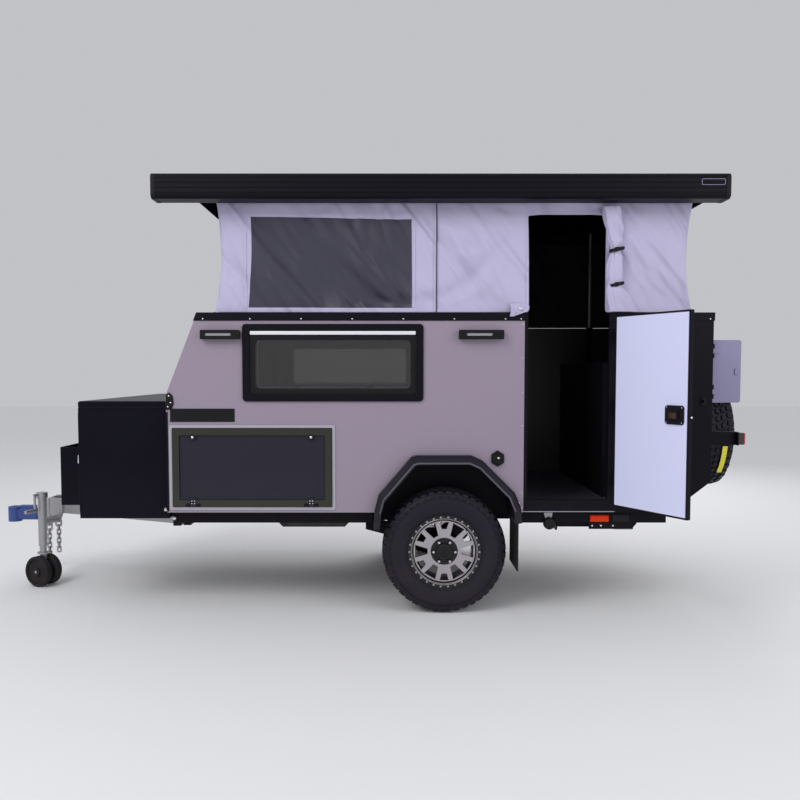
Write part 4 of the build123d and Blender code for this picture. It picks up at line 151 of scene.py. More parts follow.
def turned(profile, centre, axis, steps):
    """Ring or disc spun from (radius, height along the axis) points round a place."""
    points = [Vector((r / 1000, 0, h / 1000)) for r, h in profile]
    piece = plain_mesh("turned", points, edges=[(i, i + 1) for i in range(len(points) - 1)])
    open_mesh(piece)
    bpy.ops.mesh.spin(steps=steps, angle=2 * math.pi, center=(0, 0, 0), axis=(0, 0, 1),
                      use_auto_merge=True)
    bpy.ops.mesh.select_all(action="SELECT")
    bpy.ops.mesh.remove_doubles(threshold=0.00001)
    close_mesh()
    return aim(piece, centre, axis)


AIMS = {"Z": (0, 0, 0), "-Y": (90, 0, 0), "Y": (-90, 0, 0), "X": (0, 90, 0)}


def aim(piece, centre, axis):
    """Turns a piece made about the Z axis so that its top faces along an axis, at a place."""
    piece.rotation_euler = [math.radians(a) for a in AIMS[axis]]
    piece.location = at(*centre)
    return apply_place(piece)


def copy_of(piece, turn=Matrix()):
    """Copy with its own mesh, placed by a matrix."""
    twin = piece.copy()
    twin.data = piece.data.copy()
    bpy.context.scene.collection.objects.link(twin)
    twin.data.transform(turn)
    return twin


def mirrored(piece):
    """Copy on the trailer's other side."""
    twin = copy_of(piece, Matrix.Scale(-1, 4, (0, 1, 0)))
    twin.data.flip_normals()
    return twin


def join(name, pieces, look, body="trailer", smooth=35):
    """One object from pieces, with its look, riding on a body."""
    select_only(pieces[0])
    for piece in pieces[1:]:
        piece.select_set(True)
    if len(pieces) > 1:
        bpy.ops.object.join()
    whole = bpy.context.object
    whole.name = name
    apply_place(whole)
    if look:
        whole.data.materials.clear()
        whole.data.materials.append(looks[look])
    if smooth:
        bpy.ops.object.shade_smooth_by_angle(angle=math.radians(smooth))
    if body:
        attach(whole, body)
    return whole


def mesh_piece(name, *groups):
    """One mesh from groups of places and faces, with its faces outward."""
    places, faces = [], []
    for more_places, more_faces in groups:
        shift = len(places)
        places += more_places
        faces += [tuple(i + shift for i in face) for face in more_faces]
    piece = plain_mesh(name, places, faces=faces)
    open_mesh(piece)
    close_mesh()
    return piece


def grid_places(rows, columns, place):
    """Places of a sheet, row by row, from a function of the shares across and down it."""
    return [place(column / columns, row / rows)
            for row in range(rows + 1) for column in range(columns + 1)]


def grid_faces(rows, columns, flip=False):
    """Faces of a sheet between its rows of places."""
    faces = []
    for row in range(rows):
        for column in range(columns):
            a = row * (columns + 1) + column
            b, c, d = a + 1, a + columns + 2, a + columns + 1
            faces.append((a, d, c, b) if flip else (a, b, c, d))
    return faces


# Shader nodes

def fill(tree, node, inputs):
    """Puts numbers, colours or links on a node's inputs."""
    for socket, value in inputs.items():
        if isinstance(value, bpy.types.NodeSocket):
            tree.links.new(value, node.inputs[socket])
        else:
            node.inputs[socket].default_value = value
    return node


def add_node(tree, kind, inputs):
    return fill(tree, tree.nodes.new("ShaderNode" + kind), inputs)


def maths(tree, operation, first, second):
    """Math node on sockets or numbers."""
    node = tree.nodes.new("ShaderNodeMath")
    node.operation = operation
    return fill(tree, node, {0: first, 1: second}).outputs[0]


def vector_maths(tree, operation, *vectors):
    """Outputs of a Vector Math node."""
    node = tree.nodes.new("ShaderNodeVectorMath")
    node.operation = operation
    return fill(tree, node, dict(enumerate(vectors))).outputs


def object_place(tree):
    return tree.nodes.new("ShaderNodeTexCoord").outputs["Object"]


def noise_at(tree, scale, detail=3):
    """Noise on the object's own coordinates."""
    values = {"Vector": object_place(tree), "Scale": scale, "Detail": detail}
    return add_node(tree, "TexNoise", values).outputs["Fac"]


def mix_color(tree, factor, first, second):
    node = tree.nodes.new("ShaderNodeMix")
    node.data_type = "RGBA"
    return fill(tree, node, {"Factor": factor, 6: first, 7: second}).outputs[2]


# Shared node groups

def node_group(name, inputs, outputs):
    """Node group with named inputs and outputs, and the sockets that its inputs come from."""
    group = bpy.data.node_groups.new(name, "ShaderNodeTree")
    for direction, sockets in (("INPUT", inputs), ("OUTPUT", outputs)):
        for socket, kind in sockets.items():
            group.interface.new_socket(name=socket, in_out=direction,
                                       socket_type="NodeSocket" + kind)
    return group, group.nodes.new("NodeGroupInput").outputs


def put_out(group, **sockets):
    """Links what a node group gives."""
    fill(group, group.nodes.new("NodeGroupOutput"), sockets)
    return group


def make_grain():
    """Fine unevenness of a finish: its colour, roughness and height."""
    group, given = node_group(
        "grain", {"Color": "Color", "Roughness": "Float", "Scale": "Float", "Amount": "Float"},
        {"Color": "Color", "Roughness": "Float", "Height": "Float"})
    fine = noise_at(group, given["Scale"])
    broad = noise_at(group, 2.3)
    swing = maths(group, "SUBTRACT", maths(group, "ADD", maths(group, "MULTIPLY", fine, 0.5),
                                           maths(group, "MULTIPLY", broad, 0.5)), 0.5)
    change = maths(group, "MULTIPLY", swing, given["Amount"])
    shade = add_node(group, "HueSaturation", {"Value": maths(group, "ADD", change, 1.0),
                                              "Color": given["Color"]})
    return put_out(group, Color=shade.outputs["Color"], Height=fine,
                   Roughness=maths(group, "ADD", given["Roughness"], change))


DUST_COLOR, DUST_TOP = (0.36, 0.31, 0.25, 1), 0.5


def make_dust():
    """Pale road dust that thins out with height above the ground."""
    group, given = node_group(
        "road dust", {"Color": "Color", "Roughness": "Float", "Amount": "Float"},
        {"Color": "Color", "Roughness": "Float"})
    split = add_node(group, "SeparateXYZ", {0: object_place(group)})
    height = add_node(group, "MapRange", {
        "Value": split.outputs["Z"], "From Min": -COUPLING_HEIGHT / 1000, "From Max": DUST_TOP,
        "To Min": 1, "To Max": 0.08})
    patches = noise_at(group, 9, detail=6)
    mask = maths(group, "MULTIPLY", maths(group, "MULTIPLY", height.outputs[0], patches),
                 given["Amount"])
    rougher = maths(group, "MULTIPLY", mask, 0.3)
    return put_out(group, Color=mix_color(group, mask, given["Color"], DUST_COLOR),
                   Roughness=maths(group, "ADD", given["Roughness"], rougher))


def make_weave():
    """Over-and-under threads of a cloth, on whichever plane the face lies."""
    group, given = node_group("weave", {"Scale": "Float"}, {"Height": "Float"})
    split = add_node(group, "SeparateXYZ", {0: object_place(group)}).outputs
    waves = []
    for source in (maths(group, "ADD", split["X"], split["Y"]), split["Z"]):
        angle = maths(group, "MULTIPLY", source, given["Scale"])
        waves.append(maths(group, "SINE", angle, 0))
    return put_out(group, Height=maths(group, "MULTIPLY", *waves))


BARE_METAL = (0.0875, 0.1975)


def make_rim_zones():
    """Where a rim is bare metal: between its dark centre and its dark clamp ring."""
    group, given = node_group("rim zones", {"Centre": "Vector", "Plane": "Vector"},
                              {"Face": "Float"})
    from_centre = vector_maths(group, "SUBTRACT", object_place(group), given["Centre"])[0]
    in_plane = vector_maths(group, "MULTIPLY", from_centre, given["Plane"])[0]
    radius = vector_maths(group, "LENGTH", in_plane)["Value"]
    outer = maths(group, "LESS_THAN", radius, BARE_METAL[1])
    inner = maths(group, "GREATER_THAN", radius, BARE_METAL[0])
    return put_out(group, Face=maths(group, "MULTIPLY", outer, inner))


def make_beyond():
    """Which part of an object lies beyond a plane across one axis."""
    group, given = node_group("beyond", {"Axis": "Vector", "Place": "Float"}, {"Beyond": "Float"})
    along = vector_maths(group, "DOT_PRODUCT", object_place(group), given["Axis"])["Value"]
    return put_out(group, Beyond=maths(group, "GREATER_THAN", along, given["Place"]))


GRAIN, DUST, WEAVE, RIM_ZONES = make_grain(), make_dust(), make_weave(), make_rim_zones()
BEYOND = make_beyond()


# Materials

GRAIN_DEPTH = 0.0006
# Painted shade: the inside faces of the canvas are darkened to this colour, as the inside lies in
# shadow
CLOTH_INSIDE_SHADE = (0.011, 0.0105, 0.014, 1)


def use_group(tree, group, **values):
    """Outputs of a node group placed with its values."""
    node = tree.nodes.new("ShaderNodeGroup")
    node.node_tree = group
    return fill(tree, node, values).outputs


def slanting_wrinkles(tree, depth):
    """Normal of soft wrinkles that run down and to the side, as in cloth pulled at its corners."""
    mapping = tree.nodes.new("ShaderNodeMapping")
    mapping.vector_type = "TEXTURE"
    fill(tree, mapping, {"Vector": object_place(tree), "Rotation": (0, math.radians(-36), 0),
                         "Scale": (0.17, 0.17, 0.95)})
    texture = add_node(tree, "TexNoise", {"Vector": mapping.outputs["Vector"], "Scale": 1,
                                          "Detail": 1.2, "Distortion": 0.5})
    relief = add_node(tree, "Bump", {"Distance": depth, "Height": texture.outputs["Fac"]})
    return relief.outputs["Normal"]


def material(name, color, roughness, metallic=0.0, scale=500, amount=0.1, bump=0.15, dust=0.15,
             shine=0.5, weave=0, wrinkles=0, **fixed):
    """Principled finish with grain and dust. Fixed values are set straight on its sockets."""
    finish = bpy.data.materials.new(name)
    finish.use_nodes = True
    tree = finish.node_tree
    shader = tree.nodes["Principled BSDF"]
    grain = use_group(tree, GRAIN, Color=(*color, 1), Roughness=roughness, Scale=scale,
                      Amount=amount)
    dusty = use_group(tree, DUST, Color=grain["Color"], Roughness=grain["Roughness"], Amount=dust)
    surface, height = dusty["Color"], grain["Height"]
    if weave:
        threads = use_group(tree, WEAVE, Scale=weave)["Height"]
        height = maths(tree, "ADD", maths(tree, "MULTIPLY", threads, 0.5), height)
    relief = add_node(tree, "Bump", {"Strength": bump, "Distance": GRAIN_DEPTH, "Height": height})
    if wrinkles:
        tree.links.new(slanting_wrinkles(tree, wrinkles), relief.inputs["Normal"])
        # Painted shade: the inside faces of the cloth take the dark shade colour
        back = tree.nodes.new("ShaderNodeNewGeometry").outputs["Backfacing"]
        surface = mix_color(tree, back, surface, CLOTH_INSIDE_SHADE)
    fill(tree, shader, {"Base Color": surface, "Roughness": dusty["Roughness"],
                        "Normal": relief.outputs["Normal"]})
    shader.inputs["Metallic"].default_value = metallic
    shader.inputs["Specular IOR Level"].default_value = shine
    for socket, value in fixed.items():
        shader.inputs[socket.replace("_", " ")].default_value = value
    return finish


def body_finish(name):
    return material(name, (0.275, 0.222, 0.292), 0.42, scale=900, amount=0.05, bump=0.12,
                    Coat_Weight=0.25, Coat_Roughness=0.3)


looks = {
    "body": body_finish("body paint"),
    "black": material("black powder coat", (0.0046, 0.0041, 0.0078), 0.44, scale=1400,
                      amount=0.12, bump=0.3, dust=0.03, shine=0.1),
    "fender": material("fender coat", (0.0085, 0.007, 0.0135), 0.33, scale=900, amount=0.12,
                       bump=0.2, dust=0.04, shine=0.3),
    # Lighter than the fender coat, as a painted highlight line in the fender's groove
    "rib": material("fender rib painted highlight", (0.085, 0.078, 0.102), 0.28, scale=900, bump=0.1, dust=0.05),
    "box": material("front box sheet", (0.0032, 0.0028, 0.0082), 0.36, scale=700, amount=0.14,
                    bump=0.2, dust=0.03, shine=0.09),
    "plastic": material("black plastic", (0.007, 0.007, 0.009), 0.5, scale=600, dust=0.06,
                        shine=0.16),
    "rubber": material("rubber", (0.010, 0.009, 0.012), 0.82, amount=0.2, bump=0.4, dust=0.07,
                       shine=0.2),
    "tyre": material("tyre rubber", (0.0075, 0.0062, 0.0145), 0.54, scale=420, amount=0.25,
                     bump=0.4, dust=0.05, shine=0.24),
    "canvas": material("canvas", (0.475, 0.442, 0.625), 0.85, scale=60, bump=0.35, dust=0.06,
                       weave=2600, wrinkles=0.11),
    "roll": material("rolled canvas", (0.475, 0.442, 0.625), 0.85, scale=60, bump=0.35, dust=0.04,
                     weave=2600),
    "flap": material("canvas window", (0.043, 0.040, 0.064), 0.4, scale=120, amount=0.15,
                     bump=0.2, dust=0.03, shine=0.35, weave=2600, wrinkles=0.12),
    "webbing": material("black webbing", (0.008, 0.008, 0.01), 0.8, scale=900, amount=0.2,
                        bump=0.5, shine=0.25, weave=3200),
    "door": material("door skin", (0.72, 0.735, 1.0), 0.34, amount=0.03, bump=0.06, dust=0.05),
    "hatch": material("hatch panel", (0.018, 0.0165, 0.029), 0.42, scale=900, bump=0.2, dust=0.06,
                      shine=0.2),
    "edge": material("olive edge paint", (0.012, 0.012, 0.0065), 0.4, dust=0.1),
    "locker": material("locker grey", (0.225, 0.208, 0.35), 0.45, scale=700, amount=0.08),
    "steel": material("galvanised steel", (0.42, 0.42, 0.44), 0.42, metallic=0.9, scale=70,
                      amount=0.25, dust=0.3),
    "chrome": material("bright steel", (0.72, 0.72, 0.74), 0.22, metallic=1.0, scale=200,
                       amount=0.08, bump=0.05, dust=0.08),
    "blue": material("blue paint", (0.012, 0.05, 0.24), 0.38),
    "silver": material("silver edging", (0.42, 0.41, 0.47), 0.35, metallic=0.3, amount=0.06,
                       bump=0.08, dust=0.12),
    "oxide": material("latch paddle", (0.05, 0.016, 0.012), 0.4),
    "white": material("white strip", (0.72, 0.72, 0.76), 0.4, scale=300, amount=0.03, dust=0.04),
    "yellow": material("yellow label", (0.78, 0.72, 0.04), 0.5, scale=300, amount=0.04, dust=0.1),
    "floor": material("cabin floor", (0.07, 0.066, 0.09), 0.6, scale=300, amount=0.2, bump=0.3,
                      dust=0.1, shine=0.25),
    "cabinet": material("cabinet board", (0.009, 0.0085, 0.013), 0.5, scale=300, dust=0,
                        shine=0.2),
    "mattress": material("mattress cover", (0.20, 0.20, 0.24), 0.9, scale=200, amount=0.12,
                         bump=0.4, dust=0, weave=1800),
    "tank": material("tank plastic", (0.03, 0.03, 0.034), 0.6, scale=200, amount=0.15, dust=0.35,
                     shine=0.25),
    "glass": material("window glass", (0.27, 0.27, 0.26), 0.03, scale=40, amount=0.02, bump=0.03,
                      dust=0, Transmission_Weight=0.93, IOR=1.5),
    "lamp": material("lamp diffuser", (0.30, 0.30, 0.35), 0.25, scale=200, amount=0.03,
                     dust=0.03, Coat_Weight=0.4),
}


def two_tone(finish, beyond_color, axis, place):
    """Another colour beyond a plane across an axis."""
    tree = finish.node_tree
    color = tree.nodes["Principled BSDF"].inputs["Base Color"]
    mask = use_group(tree, BEYOND, Axis=axis, Place=place)["Beyond"]
    first = color.links[0].from_socket
    tree.links.new(mix_color(tree, mask, first, (*beyond_color, 1)), color)
    return finish


# Colours beyond a plane, and where that plane is in the frame's metres
LINING, SKIN_DEPTH = (0.012, 0.0115, 0.015), 0.944
LAMP_HOUSING, MARKER_LENS_END = (0.012, 0.012, 0.014), 4.283
RED_LENS, RED_LENS_START = (0.42, 0.008, 0.01), 5.112
looks["near wall"] = two_tone(body_finish("near wall"), LINING, (0, 1, 0), -SKIN_DEPTH)
looks["far wall"] = two_tone(body_finish("far wall"), LINING, (0, -1, 0), -SKIN_DEPTH)
marker = material("marker lamps", (0.84, 0.036, 0.0015), 0.35, scale=300, amount=0.08, bump=0.1,
                  dust=0.02, shine=0.2)
looks["orange"] = two_tone(marker, LAMP_HOUSING, (1, 0, 0), MARKER_LENS_END)
tail = material("tail lamps", LAMP_HOUSING, 0.3, scale=300, amount=0.08, bump=0.1, Coat_Weight=0.5)
looks["red"] = two_tone(tail, RED_LENS, (1, 0, 0), RED_LENS_START)

CAD_LOOKS = {
    "body": ("wall_front",), "near wall": ("wall_near",), "far wall": ("wall_far",),
    "black": ("wall_rear", "corner_near", "top_trim", "opening_frames", "entry_door", "chassis",
              "trailing_arms", "rear_carrier", "carrier_arms", "wheel_wells", "roof_shell",
              "awning_case", "rear_locker", "rear_leg_near", "rear_leg_far", "lift_posts"),
    "fender": ("fenders",), "plastic": ("awning_caps", "body_fittings", "scene_lamps",
                                        "door_handle"),
    "box": ("front_box", "front_box_lid", "holder_box"), "hatch": ("side_hatch",),
    "door": ("door_lining",), "glass": ("window_glass",), "lamp": ("scene_lamp_lenses",),
    "locker": ("rear_locker_door",), "blue": ("coupling_head",),
    "steel": ("drawbar", "coupling_body", "jockey_leg", "jockey_fork", "lift_rods",
              "safety_chains"),
    "rubber": ("jockey_wheels", "mud_flaps"), "tyre": ("tyre_near", "tyre_far", "tyre_spare"),
    "orange": ("marker_lamps",), "red": ("tail_lamps",), "floor": ("cabin_floor", "bed_base"),
    "cabinet": ("cabinet",), "mattress": ("mattress",), "tank": ("water_tank",),
    "canvas": ("canvas",),
}
for look, names in CAD_LOOKS.items():
    for name in names:
        nodes[name].material_slots[0].material = looks[look]

AXLE = (3200, 842.5, 401.5)
SPARE = (5173.5, 0, 1110)
RIM_METAL = (0.46, 0.43, 0.46, 1)


def rim_look(name, centre, plane):
    """Machined face between black centre and black clamp ring."""
    finish = material(name, (0.006, 0.006, 0.008), 0.3, scale=400, bump=0.06, dust=0.05, shine=0.3)
    tree = finish.node_tree
    shader = tree.nodes["Principled BSDF"]
    face = use_group(tree, RIM_ZONES, Centre=tuple(centre), Plane=plane)["Face"]
    dark = shader.inputs["Base Color"].links[0].from_socket
    fill(tree, shader, {"Base Color": mix_color(tree, face, dark, RIM_METAL),
                        "Metallic": maths(tree, "MULTIPLY", face, 0.95)})
    return finish


for name, centre, plane in (("rim_near", at(AXLE[0], -AXLE[1], AXLE[2]), (1, 0, 1)),
                            ("rim_far", at(*AXLE), (1, 0, 1)),
                            ("rim_spare", at(*SPARE), (0, 1, 1))):
    nodes[name].material_slots[0].material = rim_look(name.replace("_", " "), centre, plane)


# Canvas between the body and the roof, one sheet with a doorway and dark windows

CANVAS_Y = 921
CANVAS_BOTTOM = (1737, 4774)
CANVAS_HEM = 1932
CANVAS_PINNED = 2634
SEAM_X = 3140
WINDOW_ZONE = ((1950, 2990), (1964, 2529))
DOOR_ZONE = ((3733, 4218), (1900, 2531))
CLOTH_STEP = 24
# How far the end walls lean in and hollow
LEAN, HOLLOW = 15, 46
# How far the simulation may move a point, in metres
CANVAS_MOVE = 0.045
# The near and far walls lie beyond this, from the middle
SIDE_WALLS = 880


def cut_grid(axis, places):
    """Cuts the mesh in edit mode by planes across an axis, at places in the frame's metres."""
    for place in places:
        bpy.ops.mesh.select_all(action="SELECT")
        bpy.ops.mesh.bisect(plane_co=[place * along for along in axis], plane_no=axis)


def spread(low, high, keep):
    """Places between low and high about a cloth step apart, passing through the kept ones."""
    stops = sorted([low, high, *keep])
    places = []
    for start, end in zip(stops, stops[1:]):
        count = max(1, round((end - start) / CLOTH_STEP))
        places += [start + (end - start) * index / count for index in range(count)]
    return [place / 1000 for place in places[1:]]


def canvas_walls():
    """The four walls as a fine mesh with the doorway cut out."""
    (door_left, door_right), (_, door_top) = DOOR_ZONE
    lift = COUPLING_HEIGHT
    piece = box(CANVAS_BOTTOM, (-CANVAS_Y, CANVAS_Y), (CANVAS_HEM, CANVAS_PINNED))
    bpy.ops.object.mode_set(mode="EDIT")
    cut_grid((1, 0, 0), spread(*CANVAS_BOTTOM, [*WINDOW_ZONE[0], *DOOR_ZONE[0], SEAM_X]))
    cut_grid((0, 1, 0), spread(-CANVAS_Y, CANVAS_Y, []))
    cut_grid((0, 0, 1), spread(CANVAS_HEM - lift, CANVAS_PINNED - lift,
                               [z - lift for z in (*WINDOW_ZONE[1], door_top)]))
    mesh = bmesh.from_edit_mesh(piece.data)
    bpy.ops.mesh.select_all(action="DESELECT")
    for face in mesh.faces:
        x, y, z = in_millimetres(face.calc_center_median())
        near = y < 0 and abs(face.normal.y) > 0.9
        in_door = near and door_left < x < door_right and z < door_top
        face.select_set(abs(face.normal.z) > 0.9 or in_door)
    bmesh.update_edit_mesh(piece.data)
    bpy.ops.mesh.delete(type="FACE")
    bpy.ops.object.mode_set(mode="OBJECT")
    return piece


def pull_canvas(piece):
    """Leans the end walls in, hollows them, and shifts the top so that the cloth creases."""
    rest = piece.shape_key_add(name="rest")
    pulled = piece.shape_key_add(name="pulled")
    middle_x = (CANVAS_BOTTOM[0] + CANVAS_BOTTOM[1]) / 2
    for index, vertex in enumerate(piece.data.vertices):
        x, y, z = in_millimetres(vertex.co)
        share = (z - CANVAS_HEM) / (CANVAS_PINNED - CANVAS_HEM)
        hollow = HOLLOW * math.sin(math.pi * share)
        toward = (x - middle_x) / (CANVAS_BOTTOM[1] - middle_x)
        x -= toward * (LEAN * share + hollow * abs(toward) ** 6)
        y -= math.copysign(hollow * 0.25 * (1 - abs(toward) ** 6), y) * min(1, abs(y) / CANVAS_Y)
        rest.data[index].co = Vector((x / 1000, y / 1000, vertex.co.z))
        tug = 16 * share * math.sin(x / 310) + 7 * share * math.sin(x / 127 + 1)
        sway = 5 * math.sin(y / 160) * share if abs(toward) > 0.98 else 0
        drop = 9 * share * math.sin(x / 420 + 0.6)
        pulled.data[index].co = at(x + tug, y + sway, z - drop)


def simulate_cloth(piece, held, frames, bending, shrink, gravity, mass=0.25, stiffness=25,
                   pressure=0.0):
    """Runs Blender's cloth on a mesh with a held vertex group and keeps the result."""
    cloth = piece.modifiers.new("cloth", "CLOTH")
    setup = cloth.settings
    setup.quality = 7
    setup.mass = mass
    setup.tension_stiffness = stiffness
    setup.compression_stiffness = stiffness
    setup.shear_stiffness = stiffness / 4
    setup.bending_stiffness = bending
    setup.shrink_min = shrink
    if held:
        setup.vertex_group_mass = held
    if pressure:
        setup.use_pressure = True
        setup.uniform_pressure_force = pressure
    setup.effector_weights.gravity = gravity
    cloth.collision_settings.use_collision = False
    cloth.point_cache.frame_start = 1
    cloth.point_cache.frame_end = frames
    for number in range(1, frames + 1):
        bpy.context.scene.frame_set(number)
    shaped = piece.evaluated_get(bpy.context.evaluated_depsgraph_get())
    places = [vertex.co.copy() for vertex in shaped.data.vertices]
    piece.modifiers.remove(cloth)
    if piece.data.shape_keys:
        select_only(piece)
        bpy.ops.object.shape_key_remove(all=True)
    bpy.context.scene.frame_set(1)
    return places


# Creases of the canvas: start and end in X and Z, half width and depth
CREASES = (
    (1790, 2560, 2010, 2010, 34, 15), (1800, 2400, 1960, 2080, 26, 12),
    (2030, 2500, 2420, 2040, 30, 8), (2160, 2510, 2560, 2120, 24, 7),
    (2470, 2480, 2900, 2060, 34, 8), (2010, 2180, 2250, 1990, 22, 7),
    (3010, 2590, 3130, 2080, 22, 12), (3010, 2300, 3120, 1960, 18, 8),
    (3160, 2580, 3420, 2040, 30, 17), (3210, 2420, 3560, 1990, 26, 14),
    (3330, 2590, 3640, 2160, 34, 17), (3480, 2560, 3720, 2200, 24, 14),
    (3180, 2200, 3330, 1960, 20, 10), (3560, 2180, 3715, 1960, 22, 14),
    (4260, 2560, 4560, 2100, 36, 17), (4300, 2320, 4640, 2010, 28, 14),
    (4420, 2580, 4700, 2260, 26, 14), (4560, 2240, 4730, 1970, 22, 12),
    (4250, 2100, 4420, 1960, 20, 10), (1830, 2250, 1900, 1960, 18, 9),
    (2100, 2300, 2390, 1980, 20, 7), (2600, 2500, 2960, 2180, 26, 8),
    (2560, 2200, 2760, 1975, 22, 7), (2780, 2330, 2985, 2040, 20, 7),
    (3240, 2590, 3500, 2320, 22, 12), (3400, 2260, 3600, 1960, 22, 11),
    (3620, 2500, 3725, 2300, 18, 9), (4330, 2590, 4620, 2330, 24, 12))


def crease_depth(x, z):
    """How far the creases push the cloth outward at a place."""
    depth = 0
    for x0, z0, x1, z1, half, height in CREASES:
        run_x, run_z = x1 - x0, z1 - z0
        length = math.hypot(run_x, run_z)
        along = ((x - x0) * run_x + (z - z0) * run_z) / length ** 2
        if not 0 < along < 1:
            continue
        across = ((x - x0) * run_z - (z - z0) * run_x) / length
        across += 9 * math.sin(along * 5 + x0)
        depth += (height * math.sin(math.pi * along) ** 0.7
                  * (math.exp(-(across / half) ** 2)
                     - 0.6 * math.exp(-((across - 1.7 * half) / half) ** 2)))
    return depth


def mark_windows(piece):
    """Dark window cloth inside the window borders, the rest pale."""
    piece.data.materials.append(looks["canvas"])
    piece.data.materials.append(looks["flap"])
    (x0, x1), (z0, z1) = WINDOW_ZONE
    for face in piece.data.polygons:
        x, y, z = in_millimetres(face.center)
        in_window = x0 < x < x1 and z0 < z < z1 and abs(y) > SIDE_WALLS
        face.material_index = 1 if in_window else 0


def keep_moves(piece, start, places, most):
    """Moves a mesh from its start to its simulated places, each point by no more than a limit."""
    for vertex, place, first in zip(piece.data.vertices, places, start):
        move = place - first
        vertex.co = first + move * min(1, most / max(move.length, 0.0001))


def make_canvas():
    piece = canvas_walls()
    mark_windows(piece)
    pull_canvas(piece)
    held = piece.vertex_groups.new(name="held")
    for vertex in piece.data.vertices:
        _, _, z = in_millimetres(vertex.co)
        if z < CANVAS_HEM + 3 or z > CANVAS_PINNED - 3:
            held.add([vertex.index], 1.0, "REPLACE")
    keys = piece.data.shape_keys.key_blocks
    start = [point.co.copy() for point in keys["rest"].data]
    for value, number in ((0, 1), (1, 14)):
        keys["pulled"].value = value
        keys["pulled"].keyframe_insert("value", frame=number)
    places = simulate_cloth(piece, "held", 34, bending=0.12, shrink=-0.006, gravity=0.3)
    keep_moves(piece, start, places, CANVAS_MOVE)
    for vertex in piece.data.vertices:
        x, y, z = in_millimetres(vertex.co)
        if abs(y) > SIDE_WALLS:
            vertex.co.y += math.copysign(crease_depth(x, z) / 1000, y)
    smooth = piece.modifiers.new("smooth", "SUBSURF")
    smooth.levels = 1
    smooth.render_levels = 1
    apply_modifier(piece, smooth)
    bpy.ops.object.shade_smooth()
    piece.name = "canvas_walls"
    lifts_with_roof(piece)
    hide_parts("canvas")
    return piece


def canvas_surface(piece, x, z):
    """Place on the near canvas wall, or None where the doorway is open."""
    start = at(x, -1200, z)
    hit, place, _, _ = piece.ray_cast(start, Vector((0, 1, 0)), distance=0.4)
    return place if hit else None


TAPE_STEP = 14


def tape(piece, start, end, width, proud):
    """Flat tape sewn from one X, Z place to another on the near canvas wall."""
    (x0, z0), (x1, z1) = start, end
    length = math.hypot(x1 - x0, z1 - z0)
    side = (-(z1 - z0) / length * width / 2, (x1 - x0) / length * width / 2)
    count = max(2, round(length / TAPE_STEP))
    places = []
    for index in range(count + 1):
        share = index / count
        x, z = x0 + (x1 - x0) * share, z0 + (z1 - z0) * share
        middle = canvas_surface(piece, x, z)
        edges = [canvas_surface(piece, x + side[0] * edge, z + side[1] * edge)
                 for edge in (-1, 1)]
        row = [middle if place is None else place for place in edges]
        if None not in row:
            places += [place + Vector((0, -proud / 1000, 0)) for place in row]
    faces = [(i, i + 1, i + 3, i + 2) for i in range(0, len(places) - 2, 2)]
    strip = plain_mesh("tape", places, faces=faces)
    thick = strip.modifiers.new("thick", "SOLIDIFY")
    thick.thickness = proud / 1000 * 0.8
    thick.offset = 0
    return apply_modifier(strip, thick)


def lifts_with_roof(piece):
    """Puts the cloth on the trailer body, with a mesh of its own."""
    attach(piece, "trailer")
    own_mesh(piece)


def canvas_trims(piece):
    """Hems, the seam with its piping, and the stitched border of the dark window."""
    (front, rear), hem, top = CANVAS_BOTTOM, CANVAS_HEM, CANVAS_PINNED
    (left, right), (_, lintel) = DOOR_ZONE
    left, right = left - 12, right + 12
    (x0, x1), (z0, z1) = WINDOW_ZONE
    edge = 14
    hems = (((front + 30, hem + 16), (left + 4, hem + 16), 26, 2.5),
            ((right - 4, hem + 16), (rear - 30, hem + 16), 26, 2.5),
            ((front + 50, top - 30), (rear - 50, top - 30), 22, 2.5),
            ((SEAM_X, hem + 4), (SEAM_X, top - 6), 20, 4),
            ((left, hem + 4), (left, lintel + 10), 18, 2.5),
            ((left, lintel + 14), (right, lintel + 14), 20, 2.5),
            ((right, lintel + 10), (right, hem + 4), 18, 2.5))
    border = (((x0 - edge, z0), (x0 - edge, z1), 16, 2.5),
              ((x1 + edge, z0), (x1 + edge, z1), 16, 2.5),
              ((x0 - 2 * edge, z0 - edge), (x1 + 2 * edge, z0 - edge), 16, 2.5),
              ((x0 - 2 * edge, z1 + edge), (x1 + 2 * edge, z1 + edge), 16, 2.5))
    piping = (((SEAM_X + 6, hem + 4), (SEAM_X + 6, top - 6), 5, 7),)
    for name, look, tapes in (("canvas_hems", "canvas", hems),
                              ("canvas_window_border", "canvas", border),
                              ("canvas_piping", "webbing", piping)):
        strips = [tape(piece, *sewn) for sewn in tapes]
        lifts_with_roof(join(name, strips, look, body=None))


FLAP_X, FLAP_Y = 4272, -962
FLAP_TOP, FLAP_BOTTOM = 2585, 1934
STRAP_HEIGHTS = (2321, 2103)
FLAP_TURNS = 1.45


